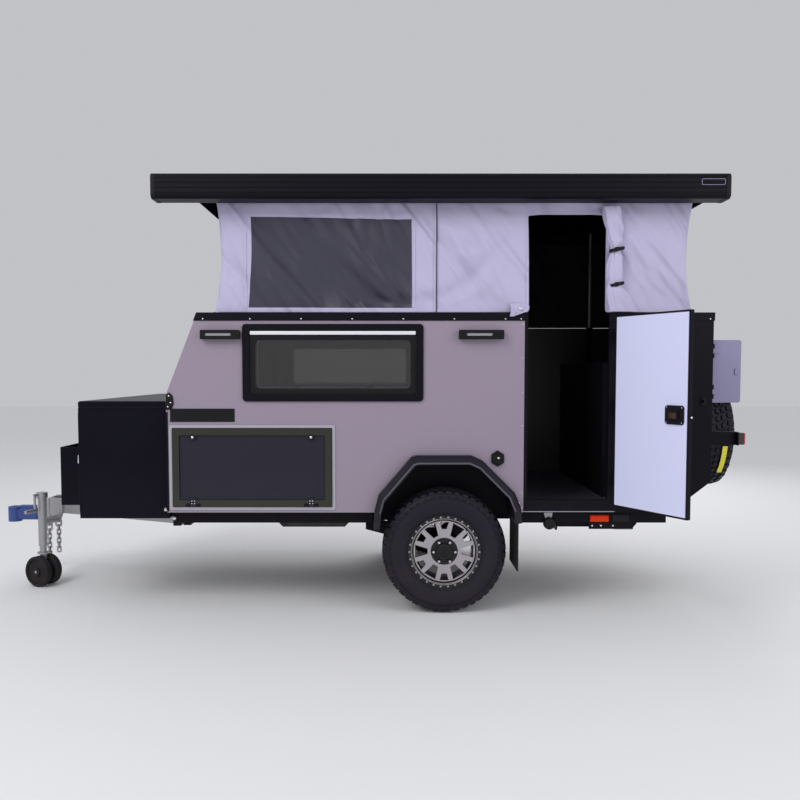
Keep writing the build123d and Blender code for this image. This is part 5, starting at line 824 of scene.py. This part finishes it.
def flap_place(s, share):
    """Place on the rolled flap, s along its winding and share down its height."""
    z = FLAP_TOP + (FLAP_BOTTOM - FLAP_TOP) * share
    squeeze = 1.0
    for strap_z in STRAP_HEIGHTS:
        squeeze -= 0.34 * math.exp(-((z - strap_z) / 36) ** 2)
    angle = math.pi * (0.25 + 2 * FLAP_TURNS * s)
    crumple = noise.noise(Vector((angle * 1.1, z / 75, 0.7)))
    fold = noise.noise(Vector((math.cos(angle) * 1.5 + z / 170, math.sin(angle) * 1.5, z / 200)))
    pleat = 1.09 + (0.08 * math.sin(5 * angle + 9 * share) + 0.36 * crumple) * (1.3 - squeeze)
    pleat -= 0.62 * abs(fold)
    reach = (45 + 7 * math.sin(share * 9.5 + 0.8)) * squeeze * (1.08 - 0.3 * s) * pleat
    drape = max(0, (share - 0.70) / 0.30) ** 1.4
    outward = max(0, math.cos(angle)) * drape
    lean = -34 * max(0, 1 - share / 0.42)
    x = FLAP_X + 7 * math.sin(share * 7) + lean + reach * math.cos(angle) * 1.15 + 104 * outward
    y = FLAP_Y + reach * math.sin(angle) * (0.62 - 0.2 * drape) + 16 * outward
    sag = 5 * math.sin(angle * 1.5 + share * 13) + 9 * crumple
    return at(x, y, z + sag * min(1, 6 * share, 6 * (1 - share)))


def rolled_flap():
    """The doorway's flap, rolled to the side, held by two straps and draped over the trim below."""
    rows, columns = 96, 84
    piece = plain_mesh("door_flap", grid_places(rows, columns, flap_place),
                       faces=grid_faces(rows, columns))
    piece = join("door_flap", [piece], "roll", body=None, smooth=60)
    bpy.ops.object.shade_smooth()
    lifts_with_roof(piece)
    middle = COUPLING_HEIGHT
    straps = []
    for strap_z in STRAP_HEIGHTS:
        loop = turned([(39, -10), (42, -10), (42, 10), (39, 10), (39, -10)], ORIGIN, "Z", 40)
        loop.data.transform(Matrix.Diagonal((1.12, 0.66, 1, 1)))
        buckle = box((-16, 8), (-31, -24), (middle - 14, middle + 14), edge=3)
        strap_end = box((2, 44), (-29, -26), (middle - 8, middle + 8), edge=1)
        for strap_piece in (loop, buckle, strap_end):
            strap_piece.data.transform(Matrix.Rotation(math.radians(-13), 4, "Y"))
            strap_piece.data.transform(Matrix.Translation(at(FLAP_X + 2, FLAP_Y, strap_z)))
            straps.append(strap_piece)
    lifts_with_roof(join("flap_straps", straps, "webbing", body=None))


SKIRT_FALL = (1936, 1931.5)


def skirt(name, x):
    """Cloth from the foot of an end wall out to the body's top edge, sagging a little."""
    rows, columns = 40, 8

    def place(share, down):
        across = 2 * down - 1
        sag = 5 * math.sin(math.pi * share) * (1 + 0.4 * math.sin(across * 17 + share * 3))
        return at(x[0] + (x[1] - x[0]) * share, across * CANVAS_Y,
                  SKIRT_FALL[0] + (SKIRT_FALL[1] - SKIRT_FALL[0]) * share - sag)

    faces = grid_faces(rows, columns, flip=True)
    if x[1] > x[0]:
        faces = [face[::-1] for face in faces]
    sheet = mesh_piece(name, (grid_places(rows, columns, place), faces))
    piece = join(name, [sheet], "canvas")
    bpy.ops.object.shade_smooth()


def corner_place(across, down):
    """Place on the loose corner of the canvas."""
    x = 3610 + 116 * across + 5 * math.sin(down * 4)
    z = 1988 - (84 - 34 * max(0, across - 0.2) / 0.8) * down
    swell = 4 * math.sin(across * 5 + down * 3)
    return at(x, -928 - 36 * min(1, down * 1.5) - swell, z)


def loose_corner():
    """Lower corner of the canvas at the doorway, hanging over the trim with its snap."""
    piece = plain_mesh("canvas_corner", grid_places(14, 14, corner_place),
                       faces=grid_faces(14, 14, flip=True))
    piece = join("canvas_corner", [piece], "canvas", body=None)
    bpy.ops.object.shade_smooth()
    lifts_with_roof(piece)
    snap = turned([(0, 5), (5, 4.5), (9, 2), (10, 0), (0, 0)], (3672, -972, 1952), "-Y", 24)
    lifts_with_roof(join("canvas_snap", [snap], "chrome", body=None))


canvas_piece = make_canvas()
canvas_trims(canvas_piece)
rolled_flap()
loose_corner()
skirt("front_skirt", (1741, 1640))
skirt("rear_skirt", (4770, 4886))


# Mattress

MATTRESS = ((1475, 2500), (-842, 842), (1238, 1336))
BED_TOP = 1235.5
PAD_MOVE = 0.016


def make_mattress():
    """Crowned pad whose sides pull in between the corners."""
    piece = box(*MATTRESS, edge=22, segments=3)
    remesh = piece.modifiers.new("remesh", "REMESH")
    remesh.mode = "VOXEL"
    remesh.voxel_size = 0.016
    apply_modifier(piece, remesh)
    start = [vertex.co.copy() for vertex in piece.data.vertices]
    places = simulate_cloth(piece, "", 16, mass=0.3, stiffness=15, bending=0.5, shrink=0,
                            pressure=4.0, gravity=0)
    keep_moves(piece, start, places, PAD_MOVE)
    for vertex in piece.data.vertices:
        vertex.co.z = max(vertex.co.z, at(0, 0, BED_TOP).z)
    piece = join("mattress_pad", [piece], "mattress")
    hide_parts("mattress")


make_mattress()


# Tyres

TYRE_R = 401.5
TREAD_BASE = 389
BLOCKS = 44
TYRE_PROFILE = ((222, -92), (226, -108), (240, -113), (262, -120), (292, -127), (318, -130.5),
                (340, -128), (356, -121), (368, -116), (379, -108), (386, -96), (TREAD_BASE, -60),
                (TREAD_BASE + 1, 0))
# Blocks on each side of the tread: corners as angle, distance from the middle and whether every
# second block is longer there, then the block's low and high radius and its taper
SIDE_BLOCKS = (
    (((-3.1, 66, 0), (2.6, 62, 0), (3.0, 108, 1), (-2.6, 112, 1)), 376, TYRE_R, 2.5),
    (((-2.5, 112, 1), (2.5, 110, 0), (2.2, 126, 0), (-2.2, 128, 0)), 352, 378, 1),
    (((1.0, 20, 0), (5.6, 26, 0), (5.2, 56, 0), (-0.6, 58, 0), (-1.4, 40, 0)), 384, TYRE_R - 0.2,
     2.5))
CENTRE_BLOCK = ((-3.2, -14), (1.6, -16), (3.4, 12), (-1.2, 16))


def tread_block(corners, low, high, taper):
    """Raised block on the tread from (angle in degrees, distance from the middle) corners."""
    places = []
    count = len(corners)
    middle_a = sum(a for a, _ in corners) / count
    middle_y = sum(y for _, y in corners) / count
    for radius, shrink in ((low, 0), (high, taper)):
        for angle, y in corners:
            turn = math.radians(angle + (middle_a - angle) * shrink / 22)
            out = y + (middle_y - y) * shrink / 22
            drop = 0.0011 * max(0, abs(out) - 60) ** 2 * 4.2 if radius == high else 0
            reach = (radius - drop) / 1000
            places.append(Vector((reach * math.cos(turn), reach * math.sin(turn), out / 1000)))
    faces = [tuple(range(count))[::-1], tuple(range(count, 2 * count))]
    faces += [(i, (i + 1) % count, (i + 1) % count + count, i + count) for i in range(count)]
    return places, faces


def make_tyre():
    """Tyre about the Z axis: carcass, shoulder blocks down to the sidewall, centre blocks."""
    other_half = [(r, -y) for r, y in reversed(TYRE_PROFILE[:-1])]
    carcass = turned([*TYRE_PROFILE, *other_half, TYRE_PROFILE[0]], ORIGIN, "Z", 132)
    groups = []
    pitch = 360 / BLOCKS
    for index in range(BLOCKS):
        a = index * pitch
        deep = 4 if index % 2 else 0
        for side in (-1, 1):
            shift = a + (pitch / 2 if side > 0 else 0)
            for corners, low, high, taper in SIDE_BLOCKS:
                places = [(shift + angle, side * (y + deep * longer))
                          for angle, y, longer in corners]
                groups.append(tread_block(places, low, high, taper))
        middle = [(a + angle, y) for angle, y in CENTRE_BLOCK]
        groups.append(tread_block(middle, 384, TYRE_R - 0.2, 2.5))
    blocks = bevel(mesh_piece("blocks", *groups), 1.6, segments=1, angle=50)
    rings = [turned([(r, y - 1.5), (r + 2.5, y - 1.5), (r + 2.5, y + 1.5), (r, y + 1.5),
                     (r, y - 1.5)], ORIGIN, "Z", 132)
             for r, y in ((345, -128), (345, 128), (250, -117.5), (250, 117.5))]
    select_only(carcass)
    for piece in (blocks, *rings):
        piece.select_set(True)
    bpy.ops.object.join()
    return bpy.context.object


WHEELS = (("near", "-Y", (AXLE[0], -AXLE[1], AXLE[2]), "wheel_near"),
          ("far", "Y", AXLE, "wheel_far"), ("spare", "X", SPARE, "trailer"))


def placed_copies(piece, name, look):
    """A wheel's piece, made about the Z axis, on each of the three wheels."""
    copies = [join(name + "_" + wheel, [aim(copy_of(piece), centre, axis)], look, body=body)
              for wheel, axis, centre, body in WHEELS]
    bpy.data.objects.remove(piece)
    return copies


for tyre, (wheel, _, _, _) in zip(placed_copies(make_tyre(), "tyre_tread", "tyre"), WHEELS):
    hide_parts("tyre_" + wheel)


# Wheel trim: clamp ring bolts, rim edge, nut faces, centre cap and valve

def ring_of(piece, name, count, radius, z):
    """Copies of a piece round the Z axis."""
    copies = []
    for index in range(count):
        turn = Matrix.Rotation(math.radians(index * 360 / count), 4, "Z")
        copies.append(copy_of(piece, turn @ Matrix.Translation((radius / 1000, 0, z / 1000))))
    bpy.data.objects.remove(piece)
    return join(name, copies, None, body=None)


RIM_FACE, NUT_SEAT = 118, 122
CLAMP_CIRCLE, NUT_CIRCLE = 224.5, 69.85
bolt = turned([(0, 5), (4, 5), (4.8, 4), (4.8, 1.2), (6.6, 1), (6.6, -2), (0, -2)],
              ORIGIN, "Z", 12)
placed_copies(ring_of(bolt, "bolts", 30, CLAMP_CIRCLE, RIM_FACE), "clamp_bolts", "steel")

edge_line = turned([(206, 111), (211, 117.5), (213.5, 119.6), (215.5, 118.4), (214, 117),
                    (206, 109)], ORIGIN, "Z", 96)
placed_copies(edge_line, "rim_edge", "steel")

nut_face = turned([(0, 1.5), (5, 3.2), (8.2, 2.4), (8.8, 0), (0, 0)], ORIGIN, "Z", 6)
placed_copies(ring_of(nut_face, "nuts", 6, NUT_CIRCLE, NUT_SEAT), "nut_faces", "chrome")

cap_face = turned([(0, 7), (16, 6.6), (30, 4.6), (33, 2.8), (34.5, 3.4), (36.5, 3.2), (38, 0),
                   (0, 0)], (0, 0, COUPLING_HEIGHT + 125), "Z", 48)
placed_copies(cap_face, "centre_cap", "plastic")

valve = turned([(0, 40), (3.6, 40), (4, 38), (4, 26), (3, 25), (5.2, 0), (0, 0)], ORIGIN, "Z", 12)
valve.data.transform(Matrix.Translation((0.199, 0, 0.094)))
valve.data.transform(Matrix.Rotation(math.radians(45), 4, "Z"))
placed_copies(valve, "valve_stem", "plastic")


# Trims of the body

def wider(span, by):
    """A range made longer at both ends."""
    return span[0] - by, span[1] + by


def rounded_outline(x, z, corner, steps=6):
    """X, Z places round a rectangle with rounded corners."""
    points = []
    for cx, cz, start in ((x[1] - corner, z[1] - corner, 0), (x[0] + corner, z[1] - corner, 90),
                          (x[0] + corner, z[0] + corner, 180), (x[1] - corner, z[0] + corner, 270)):
        for step in range(steps + 1):
            angle = math.radians(start + 90 * step / steps)
            points.append((cx + corner * math.cos(angle), cz + corner * math.sin(angle)))
    return points


def rounded_frame(x, z, border, corners, y, edge=1):
    """Flat frame with rounded corners outside and inside, between two Y values.

    The border is its width, or the X and Z ranges of its opening."""
    opening = border if isinstance(border, tuple) else (wider(x, -border), wider(z, -border))
    outer = rounded_outline(x, z, corners[0])
    inner = rounded_outline(*opening, corners[1])
    count = len(outer)
    places, faces = [], []
    for depth in y:
        places += [at(px, depth, pz) for px, pz in outer + inner]
    for i in range(count):
        j = (i + 1) % count
        faces += [(i, j, count + j, count + i),
                  (2 * count + j, 2 * count + i, 3 * count + i, 3 * count + j),
                  (i, 2 * count + i, 2 * count + j, j),
                  (count + j, 3 * count + j, 3 * count + i, count + i)]
    piece = mesh_piece("frame", (places, faces))
    return bevel(piece, edge, segments=1) if edge else piece


def dome(x, y, z, radius, height, axis="-Y", sides=16):
    """Domed screw or rivet head on a face."""
    return turned([(0, height), (radius * 0.5, height * 0.92), (radius * 0.85, height * 0.55),
                   (radius, 0), (radius, -1), (0, -1)], (x, y, z), axis, sides)


def both(pieces):
    """Pieces and their mirror images on the far side."""
    return pieces + [mirrored(piece) for piece in pieces]


# Rivets of the top trim, on both sides and behind
TRIM_Y, TRIM_REAR, RIVET_Z = -955, 4905, 1889
rivets = both([dome(x, TRIM_Y, RIVET_Z, 5.5, 3) for x in (1668, *range(1966, 3650, 323), 3680)])
rivets += [dome(x, TRIM_Y, RIVET_Z, 5.5, 3) for x in (4300, 4590, 4875)]
rivets += [dome(x, -TRIM_Y, RIVET_Z, 5.5, 3, axis="Y") for x in (4000, 4300, 4590, 4875)]
rivets += [dome(TRIM_REAR, y, RIVET_Z, 5.5, 3, axis="X") for y in range(-850, 851, 340)]
join("trim_rivets", rivets, "chrome")

# Silver bars on the doorway's sill and post as painted highlight lines, the marker lamps' brackets
# and their screws
sill = bar((3690, -951, 661), (4288, -951, 661), 2.5, sides=12)
post = bar((4262, -946, 740), (4262, -946, 1880), 1.8, sides=12)
join("doorway_highlight_bars", [sill, post], "silver")
RAIL_FACE = -875
BRACKET_FACE = RAIL_FACE - 3
bracket = box((4143, 4432), (BRACKET_FACE, RAIL_FACE), (534, 652), edge=1)
cheek = box((4429, 4432), (BRACKET_FACE, RAIL_FACE + 48), (534, 572), edge=1)
far_bracket = mirrored(join("lamp_bracket", [bracket, cheek], "black"))
far_bracket.name = "lamp_bracket_far"
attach(far_bracket, "trailer")
low_screws = [dome(x, -951, z, 6, 3) for x, z in ((3676, 716), (3694, 684))]
low_screws += both([dome(x, BRACKET_FACE, 556, 7, 4) for x in (4165, 4222, 4300)])
join("low_screws", low_screws, "chrome")
strip = box((4310, 4428), (BRACKET_FACE, RAIL_FACE + 5), (528, 532.5), edge=1)
join("rail_strip", both([strip]), "white")

# Water tap below the doorway, and the doorway's screws
TAP_FACE = -884
tap_plate = plate([(3846, 655), (3908, 655), (3900, 606), (3880, 596), (3858, 604)],
                  (TAP_FACE, TAP_FACE + 4), edge=1)
join("tap_plate", [tap_plate], "steel")
tap = turned([(0, 36), (24, 36), (34, 30), (40, 14), (40, 0), (26, -8), (26, -22), (0, -22)],
             (3884, TAP_FACE, 574), "-Y", 40)
join("tap_cap", [tap], "plastic")
join("doorway_screws", [dome(3693, -950, z, 4.5, 2.5) for z in range(780, 1900, 215)], "chrome")

# Windows: hinge strip, printed border of the pane, inner frame, stays
WINDOW_X, WINDOW_BOTTOM = (1962, 3017), 1413
strip = box(wider(WINDOW_X, -4), (-965, -954), (1789, 1812), edge=3)
join("window_hinge_strips", both([strip]), "white")
border = rounded_frame(wider(WINDOW_X, -1), (WINDOW_BOTTOM + 1, 1790), 34, (4, 30),
                       (-955.5, -952.3), edge=0.8)
join("pane_borders", both([border]), "plastic")
inner = rounded_frame((2004, 2991), (1452, 1762), 9, (24, 20), (-934, -926), edge=1.5)
stay_bars = [bar((x, -938, 1462), (x + 46, -938, 1462), 7, sides=16, edge=1) for x in (2230, 2700)]
join("window_inner_frames", both([inner]), "silver")
join("window_stays", both(stay_bars), "plastic")

# Side hatch: bright ring, olive band, locks and hinge screws
HATCH_X, HATCH_Z = (1463, 2482), (692, 1197)
LOCK_Z = 1140


def hatch_frame(by, border, corners, y, edge):
    """Frame round the hatch, wider than its opening by an amount."""
    return rounded_frame(wider(HATCH_X, by), wider(HATCH_Z, by), border, corners, y, edge)


ring = hatch_frame(20, 19, (14, 6), (-956.5, -953.2), 1.2)
lip = hatch_frame(9, 8, (8, 5), (-959, -956.4), 1.2)
join("hatch_ring", [ring, lip], "silver")
band = hatch_frame(-1, 44, (6, 10), (-966.2, -964.6), 0.6)
join("hatch_band", [band], "edge", body="side_hatch")
locks, collars, screws = [], [], []
for x in (1596, 2349):
    locks.append(turned([(0, 13), (5, 12.5), (9, 9.5), (10.5, 5), (10.5, 0), (0, 0)],
                        (x, -966, LOCK_Z), "-Y", 28))
    collars.append(turned([(11.5, 3.5), (17, 2.8), (19, 0), (19, -1), (11.5, -1), (11.5, 3.5)],
                          (x, -965, LOCK_Z), "-Y", 28))
    screws += [dome(x + dx, -970.5, z, 4.2, 3) for dx in (-9, 9) for z in (716, 732)]
for name, pieces, look in (("hatch_locks", locks, "chrome"),
                           ("hatch_lock_collars", collars, "plastic"),
                           ("hatch_hinge_screws", screws, "chrome")):
    join(name, pieces, look, body="side_hatch")

# Entry door, made shut and then turned to where it stands open
DOOR_AXIS = at(4283, -995, 0)
DOOR_TURN = (Matrix.Translation(DOOR_AXIS) @ Matrix.Rotation(math.radians(120), 4, "Z")
             @ Matrix.Translation(-DOOR_AXIS))


def on_door(name, pieces, look):
    for piece in pieces:
        piece.data.transform(DOOR_TURN)
    return join(name, pieces, look, body="entry_door")


LATCH_X, LATCH_Z, LATCH_FACE = 3796, 1307, -933.5
paddle = box((LATCH_X - 26, LATCH_X + 26), (LATCH_FACE, -930), (LATCH_Z - 20, LATCH_Z + 14),
             edge=1.5)
lip = box((LATCH_X - 20, LATCH_X + 20), (LATCH_FACE, -927), (LATCH_Z - 16, LATCH_Z - 8),
          edge=1.5)
on_door("latch_paddle", [paddle, lip], "oxide")
on_door("latch_screws", [dome(LATCH_X + dx, -947, LATCH_Z + dz, 3.6, 2, axis="Y")
                         for dx in (-54, 54) for dz in (-43, 43)], "chrome")
on_door("door_striker", [bar((3701, -972, 1296), (3688, -972, 1296), 7, edge=2)], "chrome")
seal = rounded_frame((3703, 4267), (713, 1903), 9, (14, 8), (-963, -958.5), edge=1.5)
on_door("door_seal", [seal], "rubber")
lining_screws = [dome(x, -956.8, z, 3.2, 1.6, axis="Y")
                 for x in (3720, 4250) for z in range(800, 1880, 260)]
on_door("lining_screws", lining_screws, "door")

# Front box: pressed cross breaks of its sides, lock, strut bracket, seal, seams and bolts
corners = ((866, 636), (1404, 636), (1404, 1302), (866, 1302))
places = [at(x, y, z) for y in (-909, -911.5) for x, z in corners] + [at(1135, -934, 969)]
faces = [(0, 1, 2, 3)] + [(4 + i, 4 + (i + 1) % 4, 8) for i in range(4)]
faces += [(i, (i + 1) % 4, 4 + (i + 1) % 4, 4 + i) for i in range(4)]
pressing = mesh_piece("pressing", (places, faces))
join("box_pressings", both([pressing]), "box", smooth=0)

lock = turned([(0, 26), (7, 26), (8, 24), (8, 8), (16, 6), (19, 3), (20, 0), (20, -1), (0, -1)],
              ORIGIN, "Z", 28)
lock.data.transform(Matrix.Rotation(math.radians(-90), 4, "Y"))
lock.data.transform(Matrix.Translation(at(850, -845, 986)))
handle = box((820, 828), (-858, -832), (960, 1012), edge=3)
join("box_lock", [lock, handle], "chrome")
bracket = plate([(1427, 1312), (1462, 1318), (1476, 1352), (1470, 1404), (1448, 1424),
                 (1427, 1410)], (-958, -950.5), edge=2)
bolts = [dome(x, -958, z, 6, 4) for x, z in ((1440, 1334), (1458, 1360), (1446, 1402))]
join("strut_bracket", [bracket], "plastic")
join("strut_bolts", bolts, "chrome")
SEAL_Z = (1324, 1332.5)
seal = [box((851, 857), (-905, 905), SEAL_Z), box((857, 1420), (-908, -902), SEAL_Z),
        box((857, 1420), (902, 908), SEAL_Z)]
join("lid_seal", seal, "rubber")
front_seams = [bar((850, y, 648), (850, y, 1290), 2.2, sides=10) for y in (-909, 909)]
join("box_front_seams", front_seams, "box")
corner_bead = box((1425.5, 1437), (-954, -950), (662, 1300), edge=2)
join("front_corner_bead", both([corner_bead]), "black")
pins = [turned([(0, 12), (8, 11), (12, 7), (13, 0), (0, 0)], (x, y, z), "-Y", 24)
        for x, y, z in ((1404, -911, 668), (1452, -885, 607))]
join("front_roller_bolts", pins, "chrome")

# Spare tyre's blank label, lying on its tread
LABEL_R, LABEL_X = 403.2, (5204, 5221, 5238)
turns = [math.radians(224 - row * 2.7) for row in range(13)]
places = [at(x, LABEL_R * math.cos(turn), SPARE[2] + LABEL_R * math.sin(turn))
          for turn in turns for x in LABEL_X]
join("spare_label", [mesh_piece("label", (places, grid_faces(12, 2)))], "yellow")

# Rib in the groove of each fender, lighter than the fender coat: a painted highlight line along the
# groove
FENDER_LINE = ((-447, 276), (-422, 372), (-213, 615), (-180, 624), (167, 624), (239, 591),
               (441, 389), (482, 292))
RIB_SECTION = ((0.914, -1019.6), (0.917, -1026), (0.933, -1026), (0.936, -1019.6))
places = [at(AXLE[0] + dx * share, y, AXLE[2] + dz * share) for dx, dz in FENDER_LINE
          for share, y in RIB_SECTION]
ends = 4 * (len(FENDER_LINE) - 1)
faces = [(0, 1, 2, 3), (ends, ends + 3, ends + 2, ends + 1)]
for start in range(0, ends, 4):
    for edge in range(4):
        beside = (edge + 1) % 4
        faces.append((start + edge, start + 4 + edge, start + 4 + beside, start + beside))
rib = bevel(mesh_piece("rib", (places, faces)), 1.5)
join("fender_ribs", both([rib]), "rib")

# Raised flap, hinge pin and key barrel of the filler cap
FILLER_X, FILLER_Z = 3537, 1003
flap = plate([(FILLER_X + 30 * dx, FILLER_Z + 38 * dz) for dx, dz in
              ((-1, -0.6), (-0.4, -1), (0.4, -1), (1, -0.6), (1, 0.72), (-1, 0.72))],
             (-970, -964.3), edge=2)
pin = bar((FILLER_X - 22, -968, FILLER_Z + 34), (FILLER_X + 22, -968, FILLER_Z + 34), 3.5,
          sides=12)
join("filler_flap", [flap, pin], "plastic")
barrel = dome(FILLER_X + 4, -970, FILLER_Z + 4, 8, 4, sides=20)
key_slot = box((FILLER_X + 2.8, FILLER_X + 5.2), (-974.6, -973),
               (FILLER_Z - 1, FILLER_Z + 9), edge=0.5)
join("filler_lock", [barrel, key_slot], "chrome")

# Covers of the area lamps, which leave a narrow slot of light
COVER_BACK = -993.4
covers = []
for left, right in ((1661, 1903), (3287, 3565)):
    middle = (left + right) / 2
    slot = (middle - 92, middle + 70), (1781, 1798)
    covers += [rounded_frame((left - 3, right + 3), (1759, 1818), slot, (5, 7),
                             (-999, COVER_BACK), edge=1.5),
               rounded_frame((left - 1, right + 1), (1760, 1817), 12, (5, 4),
                             (COVER_BACK, -988.3), edge=0)]
join("lamp_covers", both(covers), "plastic")

# Awning's blank end plate
end_plate = rounded_frame((4748, 4892), (2690, 2728), 3, (8, 6), (-1102, -1099), edge=0.5)
join("awning_end_plate", [end_plate], "locker", body="roof")


# Camera, fitted to the photo's edges
CAMERA_PLACE, CAMERA_DIP = (2.870, -6.034, 1.075), 3.16
camera_data = bpy.data.cameras.new("camera")
camera = add_object("camera", camera_data)
camera.location = CAMERA_PLACE
camera.rotation_euler = (math.radians(90 - CAMERA_DIP), 0, 0)
camera_data.lens = 36
camera_data.sensor_width = 36
camera_data.shift_x = 0.00875
camera_data.shift_y = 0.02
bpy.context.scene.camera = camera


# Pale studio

def area_light(name, place, aim_at, size, power):
    data = bpy.data.lights.new(name, "AREA")
    data.size = size
    data.energy = power
    lamp = add_object(name, data)
    lamp.location = place
    lamp.rotation_euler = (Vector(aim_at) - Vector(place)).to_track_quat("-Z", "Y").to_euler()


bpy.context.scene.view_settings.view_transform = "Standard"
world = bpy.data.worlds.new("studio")
bpy.context.scene.world = world
world.use_nodes = True
sky = world.node_tree
rays = sky.nodes.new("ShaderNodeLightPath").outputs
mirrored_rays = maths(sky, "MAXIMUM", rays["Is Glossy Ray"], rays["Is Transmission Ray"])
daylight = fill(sky, sky.nodes["Background"], {"Color": (0.86, 0.87, 0.9, 1), "Strength": 0.75})
backdrop = add_node(sky, "Background", {"Color": (0.535, 0.54, 0.565, 1)})
chosen = add_node(sky, "MixShader", {
    "Fac": maths(sky, "MAXIMUM", rays["Is Camera Ray"], mirrored_rays),
    1: daylight.outputs[0], 2: backdrop.outputs[0]})
sky.links.new(chosen.outputs[0], sky.nodes["World Output"].inputs["Surface"])
area_light("key", (-1.5, -6.0, 5.5), (2.6, 0, 0.8), 4.0, 260)
area_light("fill", (7.5, -4.5, 3.0), (2.6, 0, 0.6), 4.0, 90)
area_light("back", (5.0, 6.0, 4.5), (2.6, 0, 0.8), 4.0, 200)

FLOOR_SIZE, FLOOR_GAP = 60, 0.001
bpy.ops.mesh.primitive_plane_add(size=FLOOR_SIZE,
                                 location=(2.5, 0, -COUPLING_HEIGHT / 1000 - FLOOR_GAP))
floor = bpy.context.object
floor.name = "floor"
floor.data.materials.append(material("floor", (0.78, 0.78, 0.79), 0.9, scale=220, amount=0.02,
                                     bump=0, dust=0))
